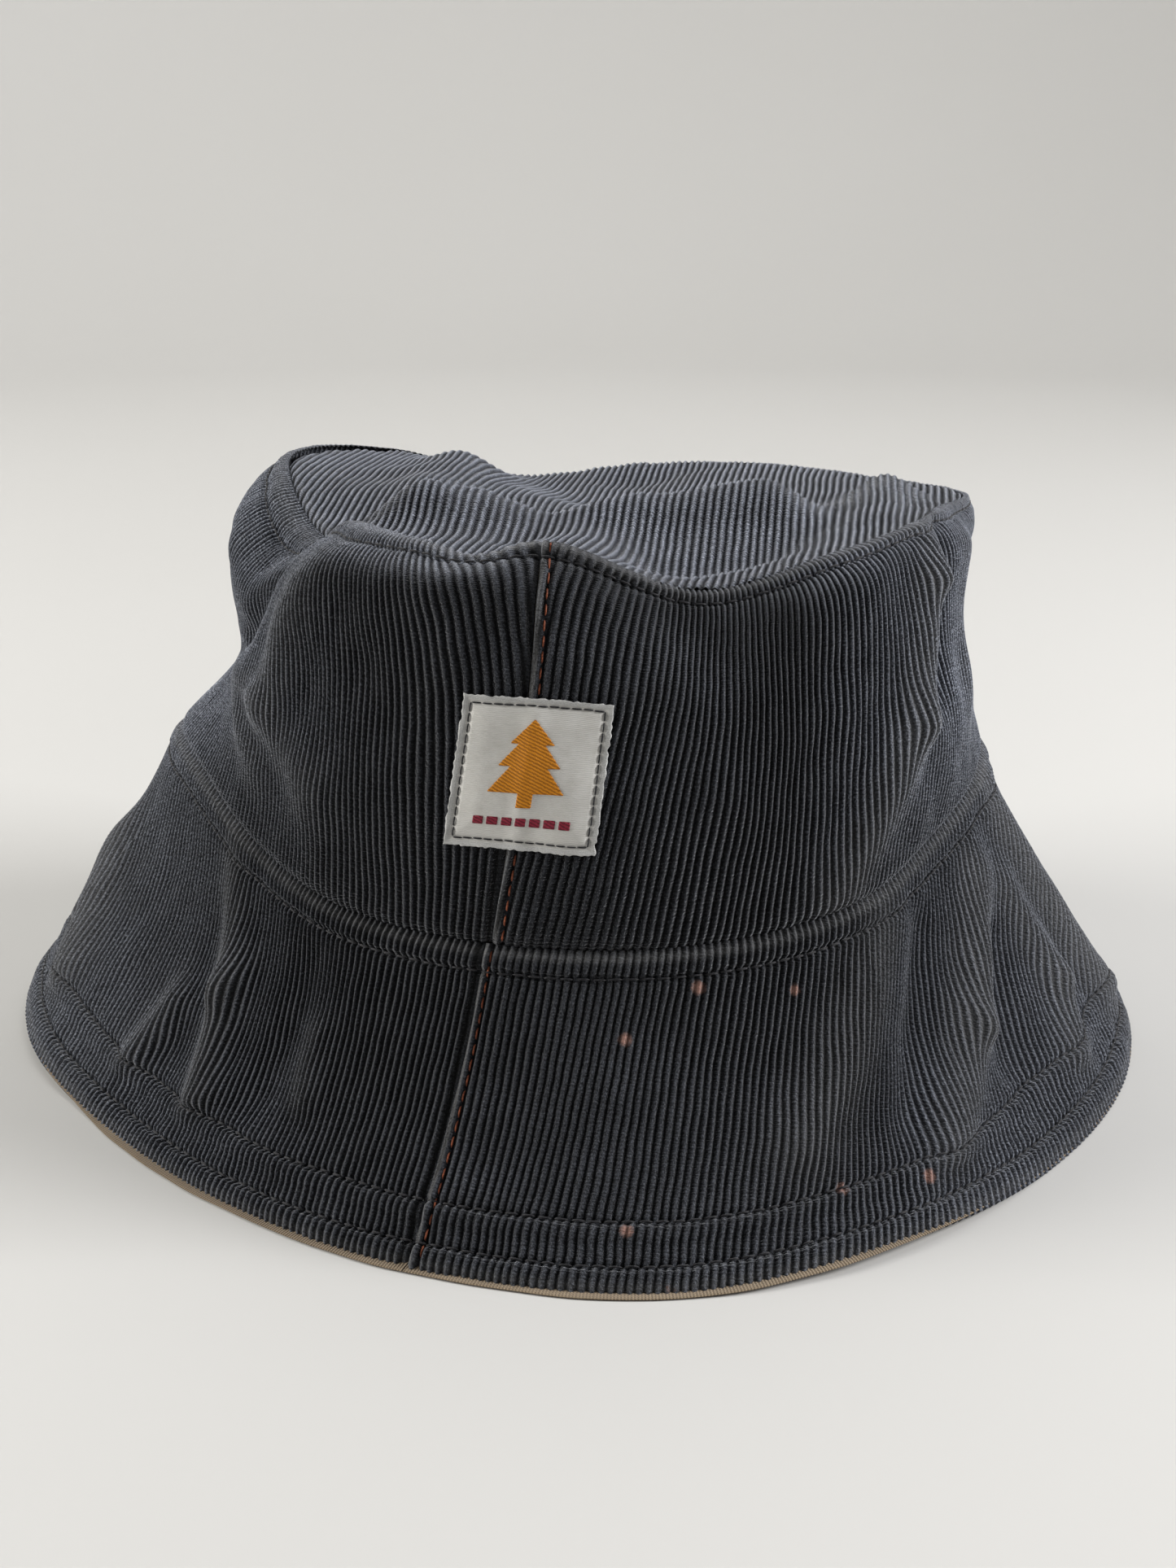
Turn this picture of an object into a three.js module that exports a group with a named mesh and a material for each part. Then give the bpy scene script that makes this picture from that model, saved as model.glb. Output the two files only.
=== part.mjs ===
// A soft bucket hat: corduroy outside, knit lining inside, standing on the edge of its brim.
// Millimetres, +Z up. The front of the hat faces -Y, and the brim's edge rests on the plane Z = 0.
//
// The hat is cut from panels: a round tip, two side-band halves that meet in a front and a back
// seam, and two brim halves. Each has a lining panel behind it, and the brim holds a layer of
// interfacing between the two. Every panel is a thin closed sheet that follows one shared surface.

import * as THREE from "three";

// ---- Driving dimensions -------------------------------------------------------------------

const STATIONS = 16; // control stations round the hat, counted from the front seam towards +X
const CORDUROY = 1.1; // thickness of the outer cloth
const INTERFACING = 0.4; // thickness of the brim's stiffening layer
const LINING = 1.0; // thickness of the knit lining
const PLY_GAP = 0.3; // air between two layers that lie on each other
const PANEL_INSET = 0.008; // in stations: half the gap between two panels at a seam

// The closed curves that the hat's outer surface passes through, from the brim's edge up. Each is
// a wavy circle: a centre, the heading of its first station in degrees from -Y, and one radius
// and one height for each station. The heights and radii carry the slump of the soft crown, and
// bumps are short rises or dips between stations.
const EDGE = {
  centre: [-0.4, -0.9],
  turn: -14,
  radius: [123, 130, 128, 126, 128.5, 133, 134, 132, 131, 131, 132, 133, 134, 126.5, 116.5, 116.5],
  height: [0, 0, 1.5, 0, 0, 0, 0, 0, 0, 0, 0, 0, 3, 3, 0, 0],
};
const BASE = {
  centre: [0, 0],
  turn: -9,
  radius: [90.5, 93, 92.5, 87.5, 91, 95, 95, 94, 93, 93, 94, 95, 93, 84.5, 82, 86],
  height: [52, 52, 54, 58, 64, 66, 64, 61, 60, 60, 62, 65, 68, 66, 58, 53],
};
const LOW = {
  centre: [2, 0],
  turn: -8,
  radius: [88.5, 89.5, 90, 87.5, 85.5, 87.5, 91, 91, 91, 91, 90, 86, 80, 78.5, 81, 86.5],
  height: [76, 75, 77, 79, 82, 83, 81, 79, 78, 78, 79, 82, 84, 82, 78, 76],
};
const MIDDLE = {
  centre: [5, 1],
  turn: -8,
  radius: [85, 84, 86, 81.5, 79.5, 82, 87, 87, 87, 87, 87, 86, 80, 80, 82, 85],
  height: [99, 96, 98, 99, 100, 100, 99, 98, 98, 98, 99, 103, 99, 95, 98, 99],
};
const SHOULDER = {
  centre: [6, 2],
  turn: -8,
  radius: [80, 77.5, 83, 79.5, 79.5, 88, 88, 88, 88, 88, 89, 89, 84, 78, 78, 83],
  height: [118, 109, 116, 118, 115, 114, 113, 112, 110.5, 110, 116, 120, 116, 107, 117, 119],
};
const RIM = {
  centre: [6, 2],
  turn: -8,
  radius: [74.7, 72.3, 75.5, 75, 74, 86, 84, 80, 80, 80, 82, 82, 71, 63.6, 64, 71],
  height: [127.5, 117, 122.5, 124.5, 122.5, 120, 118.5, 119, 117, 113.5, 123, 127, 125, 118.6, 124.7, 125.7],
  bumps: [{ at: 15.5, rise: -3.6, width: 0.3 }, { at: 13.5, rise: -3, width: 0.3 }],
};
const BAND_RINGS = [BASE, LOW, MIDDLE, SHOULDER, RIM];

// How far the panels' own stations are turned from the control stations, in stations. The brim has
// one turn at its free edge and a further one that grows towards its join with the band.
const BAND_TURN = -0.045;
const BRIM_EDGE_TURN = -0.02;
const BRIM_JOIN_TURN = -0.06;

// Creases and soft folds, as ridges (positive rise) or valleys (negative rise) along a line. A
// place on the band or brim is a station and a share of the way up it; on the tip it is x, y.
const BAND_STATION_MM = 34; // arc between two stations on the band
const BAND_MM = 86; // height of the band along its surface
const BAND_FOLDS = [
  { from: [14.1, 1], to: [12.9, 0.42], rise: -4, width: 8 },
  { from: [14.46, 0.86], to: [14, 0.4], rise: 3, width: 7 },
  { from: [12.85, 0.45], to: [13.86, 0.19], rise: 2, width: 6 },
  { from: [13.3, 0.45], to: [14.6, 0.24], rise: 2, width: 6 },
  { from: [2.93, 0.97], to: [2.8, 0.7], rise: 3, width: 5 },
  { from: [2.75, 0.68], to: [2.5, 0.37], rise: 3, width: 6 },
  { from: [2.5, 0.35], to: [1.98, 0.03], rise: 3, width: 6 },
  { from: [3.4, 0.97], to: [3, 0.4], rise: -4, width: 6 },
  { from: [3.9, 0.75], to: [3.8, 0.25], rise: 1.5, width: 7 },
  { from: [0.96, 0.8], to: [1.6, 0.35], rise: -1.5, width: 14 },
  { from: [9.4, 0.9], to: [8.4, 0.3], rise: -3, width: 10 },
  { from: [6.4, 0.85], to: [7.2, 0.25], rise: 2.5, width: 9 },
];
const BRIM_STATION_MM = 44;
const BRIM_MM = 68; // height of the brim along its surface
// How far the middle of the brim is hollow below a straight slope, at each station. It makes the
// brim steep at its join and flare out at its edge.
const BRIM_HOLLOW = [3, 4, 7, 7.5, 4, 3, 3, 3, 3, 3, 3, 3, 1.5, 6, 7, 4];
const BRIM_FOLDS = [
  { from: [13.85, 0.9], to: [14.2, 0.62], rise: 3, width: 6 },
  { from: [14.2, 0.62], to: [14.45, 0.28], rise: 3.5, width: 5.5 },
  { from: [13.8, 0.45], to: [13.8, 0.26], rise: 2.5, width: 5 },
  { from: [14.85, 0.8], to: [14.85, 0.35], rise: -2, width: 7 },
  { from: [15.05, 0.6], to: [15.15, 0.42], rise: 1.5, width: 5 },
  { from: [12.25, 0.6], to: [12.8, 0.26], rise: 4.5, width: 8 },
  { from: [3.5, 0.82], to: [2.95, 0.52], rise: 3.5, width: 6.5 },
  { from: [2.9, 0.46], to: [2.35, 0.24], rise: 3, width: 6 },
  { from: [2.7, 0.8], to: [2.2, 0.33], rise: -2.5, width: 6 },
  { from: [2.35, 0.9], to: [1.6, 0.4], rise: 2.5, width: 8 },
  { from: [3.75, 0.7], to: [3.85, 0.42], rise: 2.5, width: 5.5 },
  { from: [3.83, 0.36], to: [3.6, 0.2], rise: 2.5, width: 5 },
  { from: [3.4, 0.6], to: [3.1, 0.3], rise: -2, width: 6 },
  { from: [4.1, 0.9], to: [4.4, 0.2], rise: 4, width: 9 },
  { from: [7.1, 0.9], to: [6.8, 0.1], rise: 3, width: 12 },
  { from: [9.6, 0.9], to: [9.9, 0.15], rise: -3, width: 12 },
];
const TIP_CENTRE = { x: 4, y: 6, z: 119 };
const TIP_SETTLE = 0.3; // share of the way to the centre over which a ridge reaches full height
const TIP_BOWL = 0.4; // how early the tip starts to dish from the rim towards its centre
const TIP_FOLDS = [
  { from: [-42, -36], to: [-20, -26], rise: 7, width: 10 },
  { from: [-6, -26], to: [4, -24], rise: 3.5, width: 8 },
  { from: [16, -19], to: [40, -16], rise: 8, width: 11 },
  { from: [66, -32], to: [72, 14], rise: 6, width: 8 },
  { from: [20, -50], to: [42, -44], rise: -4, width: 10 },
  { from: [-38, -30], to: [-26, 56], rise: 3.5, width: 9 },
  { from: [12, 30], to: [16, 66], rise: -4, width: 14 },
];

// Rows of the panels. Shares of the way up the band or the brim, or from the rim to the centre.
const PANEL_STEPS = 20; // facets along half of the hat's round
const BAND_ROWS = [0.017, 0.08, 0.17, 0.25, 0.375, 0.5, 0.625, 0.75, 0.82, 0.905, 0.965];
const BAND_LINING_ROWS = [0.04, 0.08, 0.17, 0.25, 0.375, 0.5, 0.625, 0.75, 0.82];
const BRIM_ROWS = [0.046, 0.09, 0.22, 0.36, 0.52, 0.72, 0.92, 1];
const BEAD_TOP = 0.035; // the lining shows as a bead below the corduroy up to here
const BEAD_STEP = 0.04; // and has stepped back behind the interfacing here
const TIP_ROWS = [0.015, 0.08, 0.2, 0.4, 0.66];
const TIP_LINING_ROWS = [0.055, 0.08, 0.2, 0.4, 0.66];

// Thread lies on the cloth as a flat run of stitches.
const THREAD_LIFT = 0.35;
const THREAD_TOP = 0.75;
const THREAD_WIDTH = 0.6;
const SEAM_STITCH_OFFSET = 0.06; // in stations, beside the seam
const CROWN_TOPSTITCH = 0.905;
const BRIM_JOIN_TOPSTITCH = 0.92;
const EDGE_TOPSTITCH_INNER = 0.22;
const EDGE_TOPSTITCH_OUTER = 0.09;
const STITCH_CLEARANCE = 0.025; // share left free where a seam's stitching meets a topstitched row

// The label is a woven square sewn over the front seam. Its own axes are across and up, in mm.
// It stands a little proud of the cloth, clear of the seam's stitching under it.
const LABEL_SIDE = 28.5;
const LABEL_LIFT = 1.05;
const LABEL_TOP = 1.55;
const LABEL_CENTRE = { station: 0.065, share: 0.35 };
const LABEL_BAND_MM = 93; // surface length of the band for one unit of share, at the label
const LABEL_STEPS = 8;
const LABEL_STITCH_INSET = 1.5;
const MOTIF_LIFT = LABEL_TOP + 0.35;
const MOTIF_THICKNESS = 0.3;
const TREE_TOP = 10.2;
const TREE_SIDE = [[1.4, -6.2], [1.4, -3.6], [7.2, -3.6], [3.4, 1.2], [5.8, 1.2], [2.4, 5.4], [4.1, 5.4]];
const ACCENT_BAR = { half: 9, bottom: -9.6, top: -8.2 };

// ---- Curves and surfaces ------------------------------------------------------------------

const lerp = THREE.MathUtils.lerp;
const clamp = THREE.MathUtils.clamp;

// The smooth curve through four values, at a share of the way from the second to the third.
function catmullRom(before, start, end, after, share) {
  const square = share * share;
  const cube = square * share;
  return (
    0.5 *
    (2 * start +
      (end - before) * share +
      (2 * before - 5 * start + 4 * end - after) * square +
      (3 * start - before - 3 * end + after) * cube)
  );
}

// The smooth closed curve through one value for each station.
function roundTheHat(values, station) {
  const index = Math.floor(station);
  const at = (offset) => values[(index + offset + 2 * STATIONS) % STATIONS];
  return catmullRom(at(-1), at(0), at(1), at(2), station - index);
}

function ringPoint(ring, station) {
  const heading = THREE.MathUtils.degToRad(ring.turn + (station * 360) / STATIONS);
  const radius = roundTheHat(ring.radius, station);
  let height = roundTheHat(ring.height, station);
  for (const bump of ring.bumps ?? []) {
    const away = station - bump.at - STATIONS * Math.round((station - bump.at) / STATIONS);
    height += bump.rise * Math.exp(-((away / bump.width) ** 2));
  }
  return new THREE.Vector3(
    ring.centre[0] + radius * Math.sin(heading),
    ring.centre[1] - radius * Math.cos(heading),
    Math.max(0, height),
  );
}

// Distance from a point to a line segment, both in a plane.
function distanceToSegment(x, y, [x0, y0], [x1, y1]) {
  const along = ((x - x0) * (x1 - x0) + (y - y0) * (y1 - y0)) / ((x1 - x0) ** 2 + (y1 - y0) ** 2);
  const share = clamp(along, 0, 1);
  return Math.hypot(x - lerp(x0, x1, share), y - lerp(y0, y1, share));
}

// Sum of the folds at a place, with stations and shares turned into millimetres.
function foldHeight(folds, station, share, stationLength, shareLength) {
  let height = 0;
  for (const fold of folds) {
    const middle = (fold.from[0] + fold.to[0]) / 2;
    const turns = Math.round((station - middle) / STATIONS);
    const near = station - turns * STATIONS;
    const distance = distanceToSegment(
      near * stationLength,
      share * shareLength,
      [fold.from[0] * stationLength, fold.from[1] * shareLength],
      [fold.to[0] * stationLength, fold.to[1] * shareLength],
    );
    height += fold.rise * Math.exp(-((distance / fold.width) ** 2));
  }
  return height;
}

// Direction straight out from the hat's axis, level with the ground.
function outward(point) {
  return new THREE.Vector3(point.x, point.y, 0).normalize();
}

// Side band: share 0 is the join with the brim, and share 1 the seam with the tip.
function bandPoint(place, share) {
  const station = place + BAND_TURN;
  const last = BAND_RINGS.length - 1;
  const level = clamp(share, 0, 1) * last;
  const index = Math.min(Math.floor(level), last - 1);
  const rings = BAND_RINGS.map((ring) => ringPoint(ring, station));
  const below = index > 0 ? rings[index - 1] : rings[0].clone().multiplyScalar(2).sub(rings[1]);
  const above =
    index + 2 <= last ? rings[index + 2] : rings[last].clone().multiplyScalar(2).sub(rings[last - 1]);
  const along = (axis) =>
    catmullRom(below[axis], rings[index][axis], rings[index + 1][axis], above[axis], level - index);
  const point = new THREE.Vector3(along("x"), along("y"), along("z"));
  const fade = Math.sin(Math.PI * clamp(share, 0, 1)) ** 0.5;
  const rise = foldHeight(BAND_FOLDS, station, share, BAND_STATION_MM, BAND_MM) * fade;
  return point.addScaledVector(outward(point), rise);
}

// Brim: share 0 is its free edge, and share 1 the join with the side band.
function brimPoint(place, share) {
  const station = place + BRIM_EDGE_TURN + BRIM_JOIN_TURN * share;
  const edge = ringPoint(EDGE, station);
  const base = ringPoint(BASE, station);
  const point = edge.clone().lerp(base, share);
  const fade = Math.min(1, 4 * share * (1.25 - share));
  const rise = foldHeight(BRIM_FOLDS, station, share, BRIM_STATION_MM, BRIM_MM) * fade;
  const held = 1 - share ** 4;
  const slope = base.clone().sub(edge);
  const run = Math.hypot(slope.x, slope.y);
  const hollow = roundTheHat(BRIM_HOLLOW, station) * 4 * share * (1 - share);
  const inAndDown = new THREE.Vector3(slope.x, slope.y, 0)
    .multiplyScalar(slope.z / run)
    .add(new THREE.Vector3(0, 0, -run))
    .normalize();
  point.addScaledVector(outward(point), rise * held);
  return point.addScaledVector(inAndDown, hollow);
}

// Tip: share 0 is the seam with the side band, and share 1 its centre.
function tipPoint(station, share) {
  const rim = ringPoint(RIM, station);
  const x = lerp(rim.x, TIP_CENTRE.x, share);
  const y = lerp(rim.y, TIP_CENTRE.y, share);
  const settled = THREE.MathUtils.smoothstep(share, 0, TIP_SETTLE);
  let z = lerp(rim.z, TIP_CENTRE.z, THREE.MathUtils.smoothstep(share, -TIP_BOWL, 1));
  for (const fold of TIP_FOLDS) {
    const distance = distanceToSegment(x, y, fold.from, fold.to);
    z += settled * fold.rise * Math.exp(-((distance / fold.width) ** 2));
  }
  return new THREE.Vector3(x, y, z);
}

// Unit normal of a surface, facing out of the hat.
function surfaceNormal(surface, a, b, step) {
  const along = surface(a + step, b).sub(surface(a - step, b));
  const up = surface(a, b + step).sub(surface(a, b - step));
  return along.cross(up).normalize();
}

const NORMAL_STEP = 0.01;

// A point a given distance out from the band or tip, along the surface's normal.
function raised(surface) {
  return (a, b, distance) => {
    const inside = clamp(b, NORMAL_STEP, 1 - NORMAL_STEP);
    const normal = surfaceNormal(surface, a, inside, NORMAL_STEP);
    return surface(a, b).addScaledVector(normal, distance);
  };
}

// A point a given distance out from the brim. It moves level with the ground, so that every
// layer of the brim ends in the same plane at the edge that the hat rests on.
function raisedLevel(a, b, distance) {
  const inside = clamp(b, NORMAL_STEP, 1 - NORMAL_STEP);
  const normal = surfaceNormal(brimPoint, a, inside, NORMAL_STEP);
  const level = Math.hypot(normal.x, normal.y);
  const point = brimPoint(a, b);
  point.x += (normal.x / level) * (distance / level);
  point.y += (normal.y / level) * (distance / level);
  return point;
}

const onBand = raised(bandPoint);
const onTip = raised(tipPoint);
const onBrim = raisedLevel;

// The label's own surface: across and up from its centre, in millimetres.
function onLabel(across, up, distance) {
  const station = LABEL_CENTRE.station + across / BAND_STATION_MM;
  return onBand(station, LABEL_CENTRE.share + up / LABEL_BAND_MM, distance);
}

// ---- Closed sheets ------------------------------------------------------------------------

function evenly(start, end, steps) {
  return Array.from({ length: steps + 1 }, (_, i) => lerp(start, end, i / steps));
}

function geometryOf(points, faces) {
  const positions = points.flatMap((point) => [point.x, point.y, point.z]);
  const geometry = new THREE.BufferGeometry();
  geometry.setAttribute("position", new THREE.Float32BufferAttribute(positions, 3));
  geometry.setIndex(faces);
  geometry.computeVertexNormals();
  return geometry;
}

// Two triangles for the quad a, b, c, d, seen counter-clockwise from its outer side.
function addQuad(faces, a, b, c, d) {
  faces.push(a, b, c, a, c, d);
}

// A closed sheet over a grid of places, between an outer and an inner distance from the surface.
// Each distance is one number, or one for each row. A wrapped sheet closes on itself round the hat.
function sheet(raise, columns, rows, outer, inner, wrapped = false) {
  const distance = (side, row) => (Array.isArray(side) ? side[row] : side);
  const points = [];
  for (const side of [outer, inner]) {
    for (const column of columns) {
      rows.forEach((share, row) => points.push(raise(column, share, distance(side, row))));
    }
  }
  const height = rows.length;
  const layer = columns.length * height;
  const at = (side, column, row) => side * layer + (column % columns.length) * height + row;
  const faces = [];
  const spans = wrapped ? columns.length : columns.length - 1;
  for (let i = 0; i < spans; i++) {
    for (let j = 0; j < height - 1; j++) {
      addQuad(faces, at(0, i, j), at(0, i + 1, j), at(0, i + 1, j + 1), at(0, i, j + 1));
      addQuad(faces, at(1, i, j), at(1, i, j + 1), at(1, i + 1, j + 1), at(1, i + 1, j));
    }
    const top = height - 1;
    addQuad(faces, at(0, i, 0), at(1, i, 0), at(1, i + 1, 0), at(0, i + 1, 0));
    addQuad(faces, at(0, i, top), at(0, i + 1, top), at(1, i + 1, top), at(1, i, top));
  }
  if (!wrapped) {
    const end = columns.length - 1;
    for (let j = 0; j < height - 1; j++) {
      addQuad(faces, at(0, 0, j), at(0, 0, j + 1), at(1, 0, j + 1), at(1, 0, j));
      addQuad(faces, at(0, end, j), at(1, end, j), at(1, end, j + 1), at(0, end, j + 1));
    }
  }
  return geometryOf(points, faces);
}

// A closed round sheet: rings of points from the rim inwards, and one point at the centre.
function disc(raise, columns, rows, outer, inner) {
  const points = [];
  for (const distance of [outer, inner]) {
    for (const column of columns) {
      rows.forEach((share) => points.push(raise(column, share, distance)));
    }
  }
  const centre = points.length;
  points.push(tipPoint(0, 1).add(new THREE.Vector3(0, 0, outer)));
  points.push(tipPoint(0, 1).add(new THREE.Vector3(0, 0, inner)));
  const height = rows.length;
  const layer = columns.length * height;
  const at = (side, column, row) => side * layer + (column % columns.length) * height + row;
  const faces = [];
  columns.forEach((_, i) => {
    for (let j = 0; j < height - 1; j++) {
      addQuad(faces, at(0, i, j), at(0, i + 1, j), at(0, i + 1, j + 1), at(0, i, j + 1));
      addQuad(faces, at(1, i, j), at(1, i, j + 1), at(1, i + 1, j + 1), at(1, i + 1, j));
    }
    const last = height - 1;
    faces.push(at(0, i, last), at(0, i + 1, last), centre);
    faces.push(at(1, i + 1, last), at(1, i, last), centre + 1);
    addQuad(faces, at(0, i, 0), at(1, i, 0), at(1, i + 1, 0), at(0, i + 1, 0));
  });
  return geometryOf(points, faces);
}

const HALF = STATIONS / 2;
const RIGHT = evenly(PANEL_INSET, HALF - PANEL_INSET, PANEL_STEPS);
const LEFT = evenly(HALF + PANEL_INSET, STATIONS - PANEL_INSET, PANEL_STEPS);
const ALL_ROUND = [...RIGHT, ...LEFT];

// ---- Materials ----------------------------------------------------------------------------

function material(colour, roughness) {
  return new THREE.MeshStandardMaterial({ color: colour, roughness, metalness: 0 });
}

const CORDUROY_GREY = 0x4b4f56;
const KNIT_BEIGE = 0xa68d70;
const FELT_WHITE = 0xe4e2da;
const THREAD_BLACK = 0x16171b;
const THREAD_RUST = 0x8c4a2c;
const LABEL_WHITE = 0xdad9d4;
const MOTIF_ORANGE = 0xd68b22;
const ACCENT_RED = 0x7d2433;

const hat = new THREE.Group();

function addPiece(name, geometry, colour, roughness = 0.95) {
  const mesh = new THREE.Mesh(geometry, material(colour, roughness));
  mesh.name = name;
  hat.add(mesh);
}

// ---- Cloth panels -------------------------------------------------------------------------

function addSideBand(side, columns) {
  const lining = -CORDUROY - PLY_GAP;
  addPiece(`side_band_${side}`, sheet(onBand, columns, BAND_ROWS, 0, -CORDUROY), CORDUROY_GREY);
  addPiece(
    `side_band_lining_${side}`,
    sheet(onBand, columns, BAND_LINING_ROWS, lining, lining - LINING),
    KNIT_BEIGE,
  );
}

// The lining of the brim turns out below the corduroy and the interfacing, and shows as a bead.
function addBrim(side, columns) {
  const stiffener = -CORDUROY - PLY_GAP;
  const lining = stiffener - INTERFACING - PLY_GAP;
  const liningRows = [0, BEAD_TOP, BEAD_STEP, ...BRIM_ROWS.slice(1)];
  const liningFront = liningRows.map((share) => (share <= BEAD_TOP ? 0 : lining));
  addPiece(`brim_${side}`, sheet(onBrim, columns, BRIM_ROWS, 0, -CORDUROY), CORDUROY_GREY);
  addPiece(
    `brim_interfacing_${side}`,
    sheet(onBrim, columns, BRIM_ROWS, stiffener, stiffener - INTERFACING),
    FELT_WHITE,
  );
  addPiece(
    `brim_lining_${side}`,
    sheet(onBrim, columns, liningRows, liningFront, lining - LINING),
    KNIT_BEIGE,
  );
}

function addTip() {
  const lining = -CORDUROY - PLY_GAP;
  addPiece("crown_tip", disc(onTip, ALL_ROUND, TIP_ROWS, 0, -CORDUROY), CORDUROY_GREY);
  addPiece(
    "crown_tip_lining",
    disc(onTip, ALL_ROUND, TIP_LINING_ROWS, lining, lining - LINING),
    KNIT_BEIGE,
  );
}

// ---- Stitching ----------------------------------------------------------------------------

// A row of topstitching that runs right round the hat at one share of the band or the brim.
function addTopstitching(name, raise, share, surfaceLength) {
  const half = THREAD_WIDTH / surfaceLength / 2;
  const rows = [share - half, share + half];
  addPiece(name, sheet(raise, ALL_ROUND, rows, THREAD_TOP, THREAD_LIFT, true), THREAD_BLACK);
}

// The stitching beside a seam, between two shares of the band or the brim.
function addSeamStitching(name, raise, station, rows, stationLength) {
  const half = THREAD_WIDTH / stationLength / 2;
  const columns = [station - half, station + half];
  addPiece(name, sheet(raise, columns, rows, THREAD_TOP, THREAD_LIFT), THREAD_RUST);
}

function addStitching() {
  addTopstitching("crown_topstitching", onBand, CROWN_TOPSTITCH, BAND_MM);
  addTopstitching("brim_join_topstitching", onBrim, BRIM_JOIN_TOPSTITCH, BRIM_MM);
  addTopstitching("brim_edge_topstitching_inner", onBrim, EDGE_TOPSTITCH_INNER, BRIM_MM);
  addTopstitching("brim_edge_topstitching_outer", onBrim, EDGE_TOPSTITCH_OUTER, BRIM_MM);
  const bandEnd = CROWN_TOPSTITCH - STITCH_CLEARANCE;
  const brimStart = EDGE_TOPSTITCH_INNER + STITCH_CLEARANCE;
  const brimEnd = BRIM_JOIN_TOPSTITCH - STITCH_CLEARANCE;
  const between = (rows, start, end) => rows.filter((row) => row > start && row < end);
  const bandRows = [STITCH_CLEARANCE, ...between(BAND_ROWS, STITCH_CLEARANCE, bandEnd), bandEnd];
  const brimRows = [brimStart, ...between(BRIM_ROWS, brimStart, brimEnd), brimEnd];
  const front = SEAM_STITCH_OFFSET;
  const back = HALF + SEAM_STITCH_OFFSET;
  addSeamStitching("band_front_seam_stitching", onBand, front, bandRows, BAND_STATION_MM);
  addSeamStitching("band_back_seam_stitching", onBand, back, bandRows, BAND_STATION_MM);
  addSeamStitching("brim_front_seam_stitching", onBrim, front, brimRows, BRIM_STATION_MM);
  addSeamStitching("brim_back_seam_stitching", onBrim, back, brimRows, BRIM_STATION_MM);
}

// ---- Label --------------------------------------------------------------------------------

// Corners of a square frame, counter-clockwise from the lower left.
function squareCorner(index, half) {
  const signs = [[-1, -1], [1, -1], [1, 1], [-1, 1]];
  const [across, up] = signs[index % signs.length];
  return [across * half, up * half];
}

// The label's stitching as a closed band: a place round the square, and a share of its width.
function onLabelStitching(round, share, distance) {
  const half = LABEL_SIDE / 2 - LABEL_STITCH_INSET - share * THREAD_WIDTH;
  const side = Math.floor(round);
  const start = squareCorner(side, half);
  const end = squareCorner(side + 1, half);
  const along = round - side;
  return onLabel(lerp(start[0], end[0], along), lerp(start[1], end[1], along), distance);
}

// A plain evergreen tree, the label's motif: three stacked tiers and a trunk.
function treeShape() {
  const tree = new THREE.Shape();
  tree.moveTo(-TREE_SIDE[0][0], TREE_SIDE[0][1]);
  TREE_SIDE.forEach(([x, y]) => tree.lineTo(x, y));
  tree.lineTo(0, TREE_TOP);
  [...TREE_SIDE].reverse().forEach(([x, y]) => tree.lineTo(-x, y));
  return tree;
}

// Bends a flat geometry onto the label, with its own height above the label's surface.
function wrappedOnLabel(flat, lift) {
  const place = flat.getAttribute("position");
  for (let i = 0; i < place.count; i++) {
    const point = onLabel(place.getX(i), place.getY(i), lift + place.getZ(i));
    place.setXYZ(i, point.x, point.y, point.z);
  }
  flat.computeVertexNormals();
  return flat;
}

function addLabel() {
  const half = LABEL_SIDE / 2;
  const across = evenly(-half, half, LABEL_STEPS);
  addPiece("label_patch", sheet(onLabel, across, across, LABEL_TOP, LABEL_LIFT), LABEL_WHITE, 0.6);
  const round = evenly(0, 4, 4 * LABEL_STEPS).slice(0, -1);
  addPiece(
    "label_stitching",
    sheet(onLabelStitching, round, [0, 1], MOTIF_LIFT + MOTIF_THICKNESS, MOTIF_LIFT, true),
    THREAD_BLACK,
  );
  const motif = new THREE.ExtrudeGeometry(treeShape(), {
    depth: MOTIF_THICKNESS,
    bevelEnabled: false,
  });
  addPiece("label_motif", wrappedOnLabel(motif, MOTIF_LIFT), MOTIF_ORANGE, 0.5);
  const bar = sheet(
    onLabel,
    evenly(-ACCENT_BAR.half, ACCENT_BAR.half, LABEL_STEPS),
    [ACCENT_BAR.bottom, ACCENT_BAR.top],
    MOTIF_LIFT + MOTIF_THICKNESS,
    MOTIF_LIFT,
  );
  addPiece("label_accent_bar", bar, ACCENT_RED, 0.6);
}

addTip();
addSideBand("right", RIGHT);
addSideBand("left", LEFT);
addBrim("right", RIGHT);
addBrim("left", LEFT);
addStitching();
addLabel();

export default hat;
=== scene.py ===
"""A soft corduroy bucket hat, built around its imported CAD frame.

The cloth panels follow the same curved surfaces as the CAD panels, with the brim's folds a little
higher. Each is a fine grid with its ribs, seams, puckers and turned-in edges as real relief. Lengths
are in millimetres, and they turn into metres where a mesh is made. The front of the hat faces -Y.
"""

import math

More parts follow.
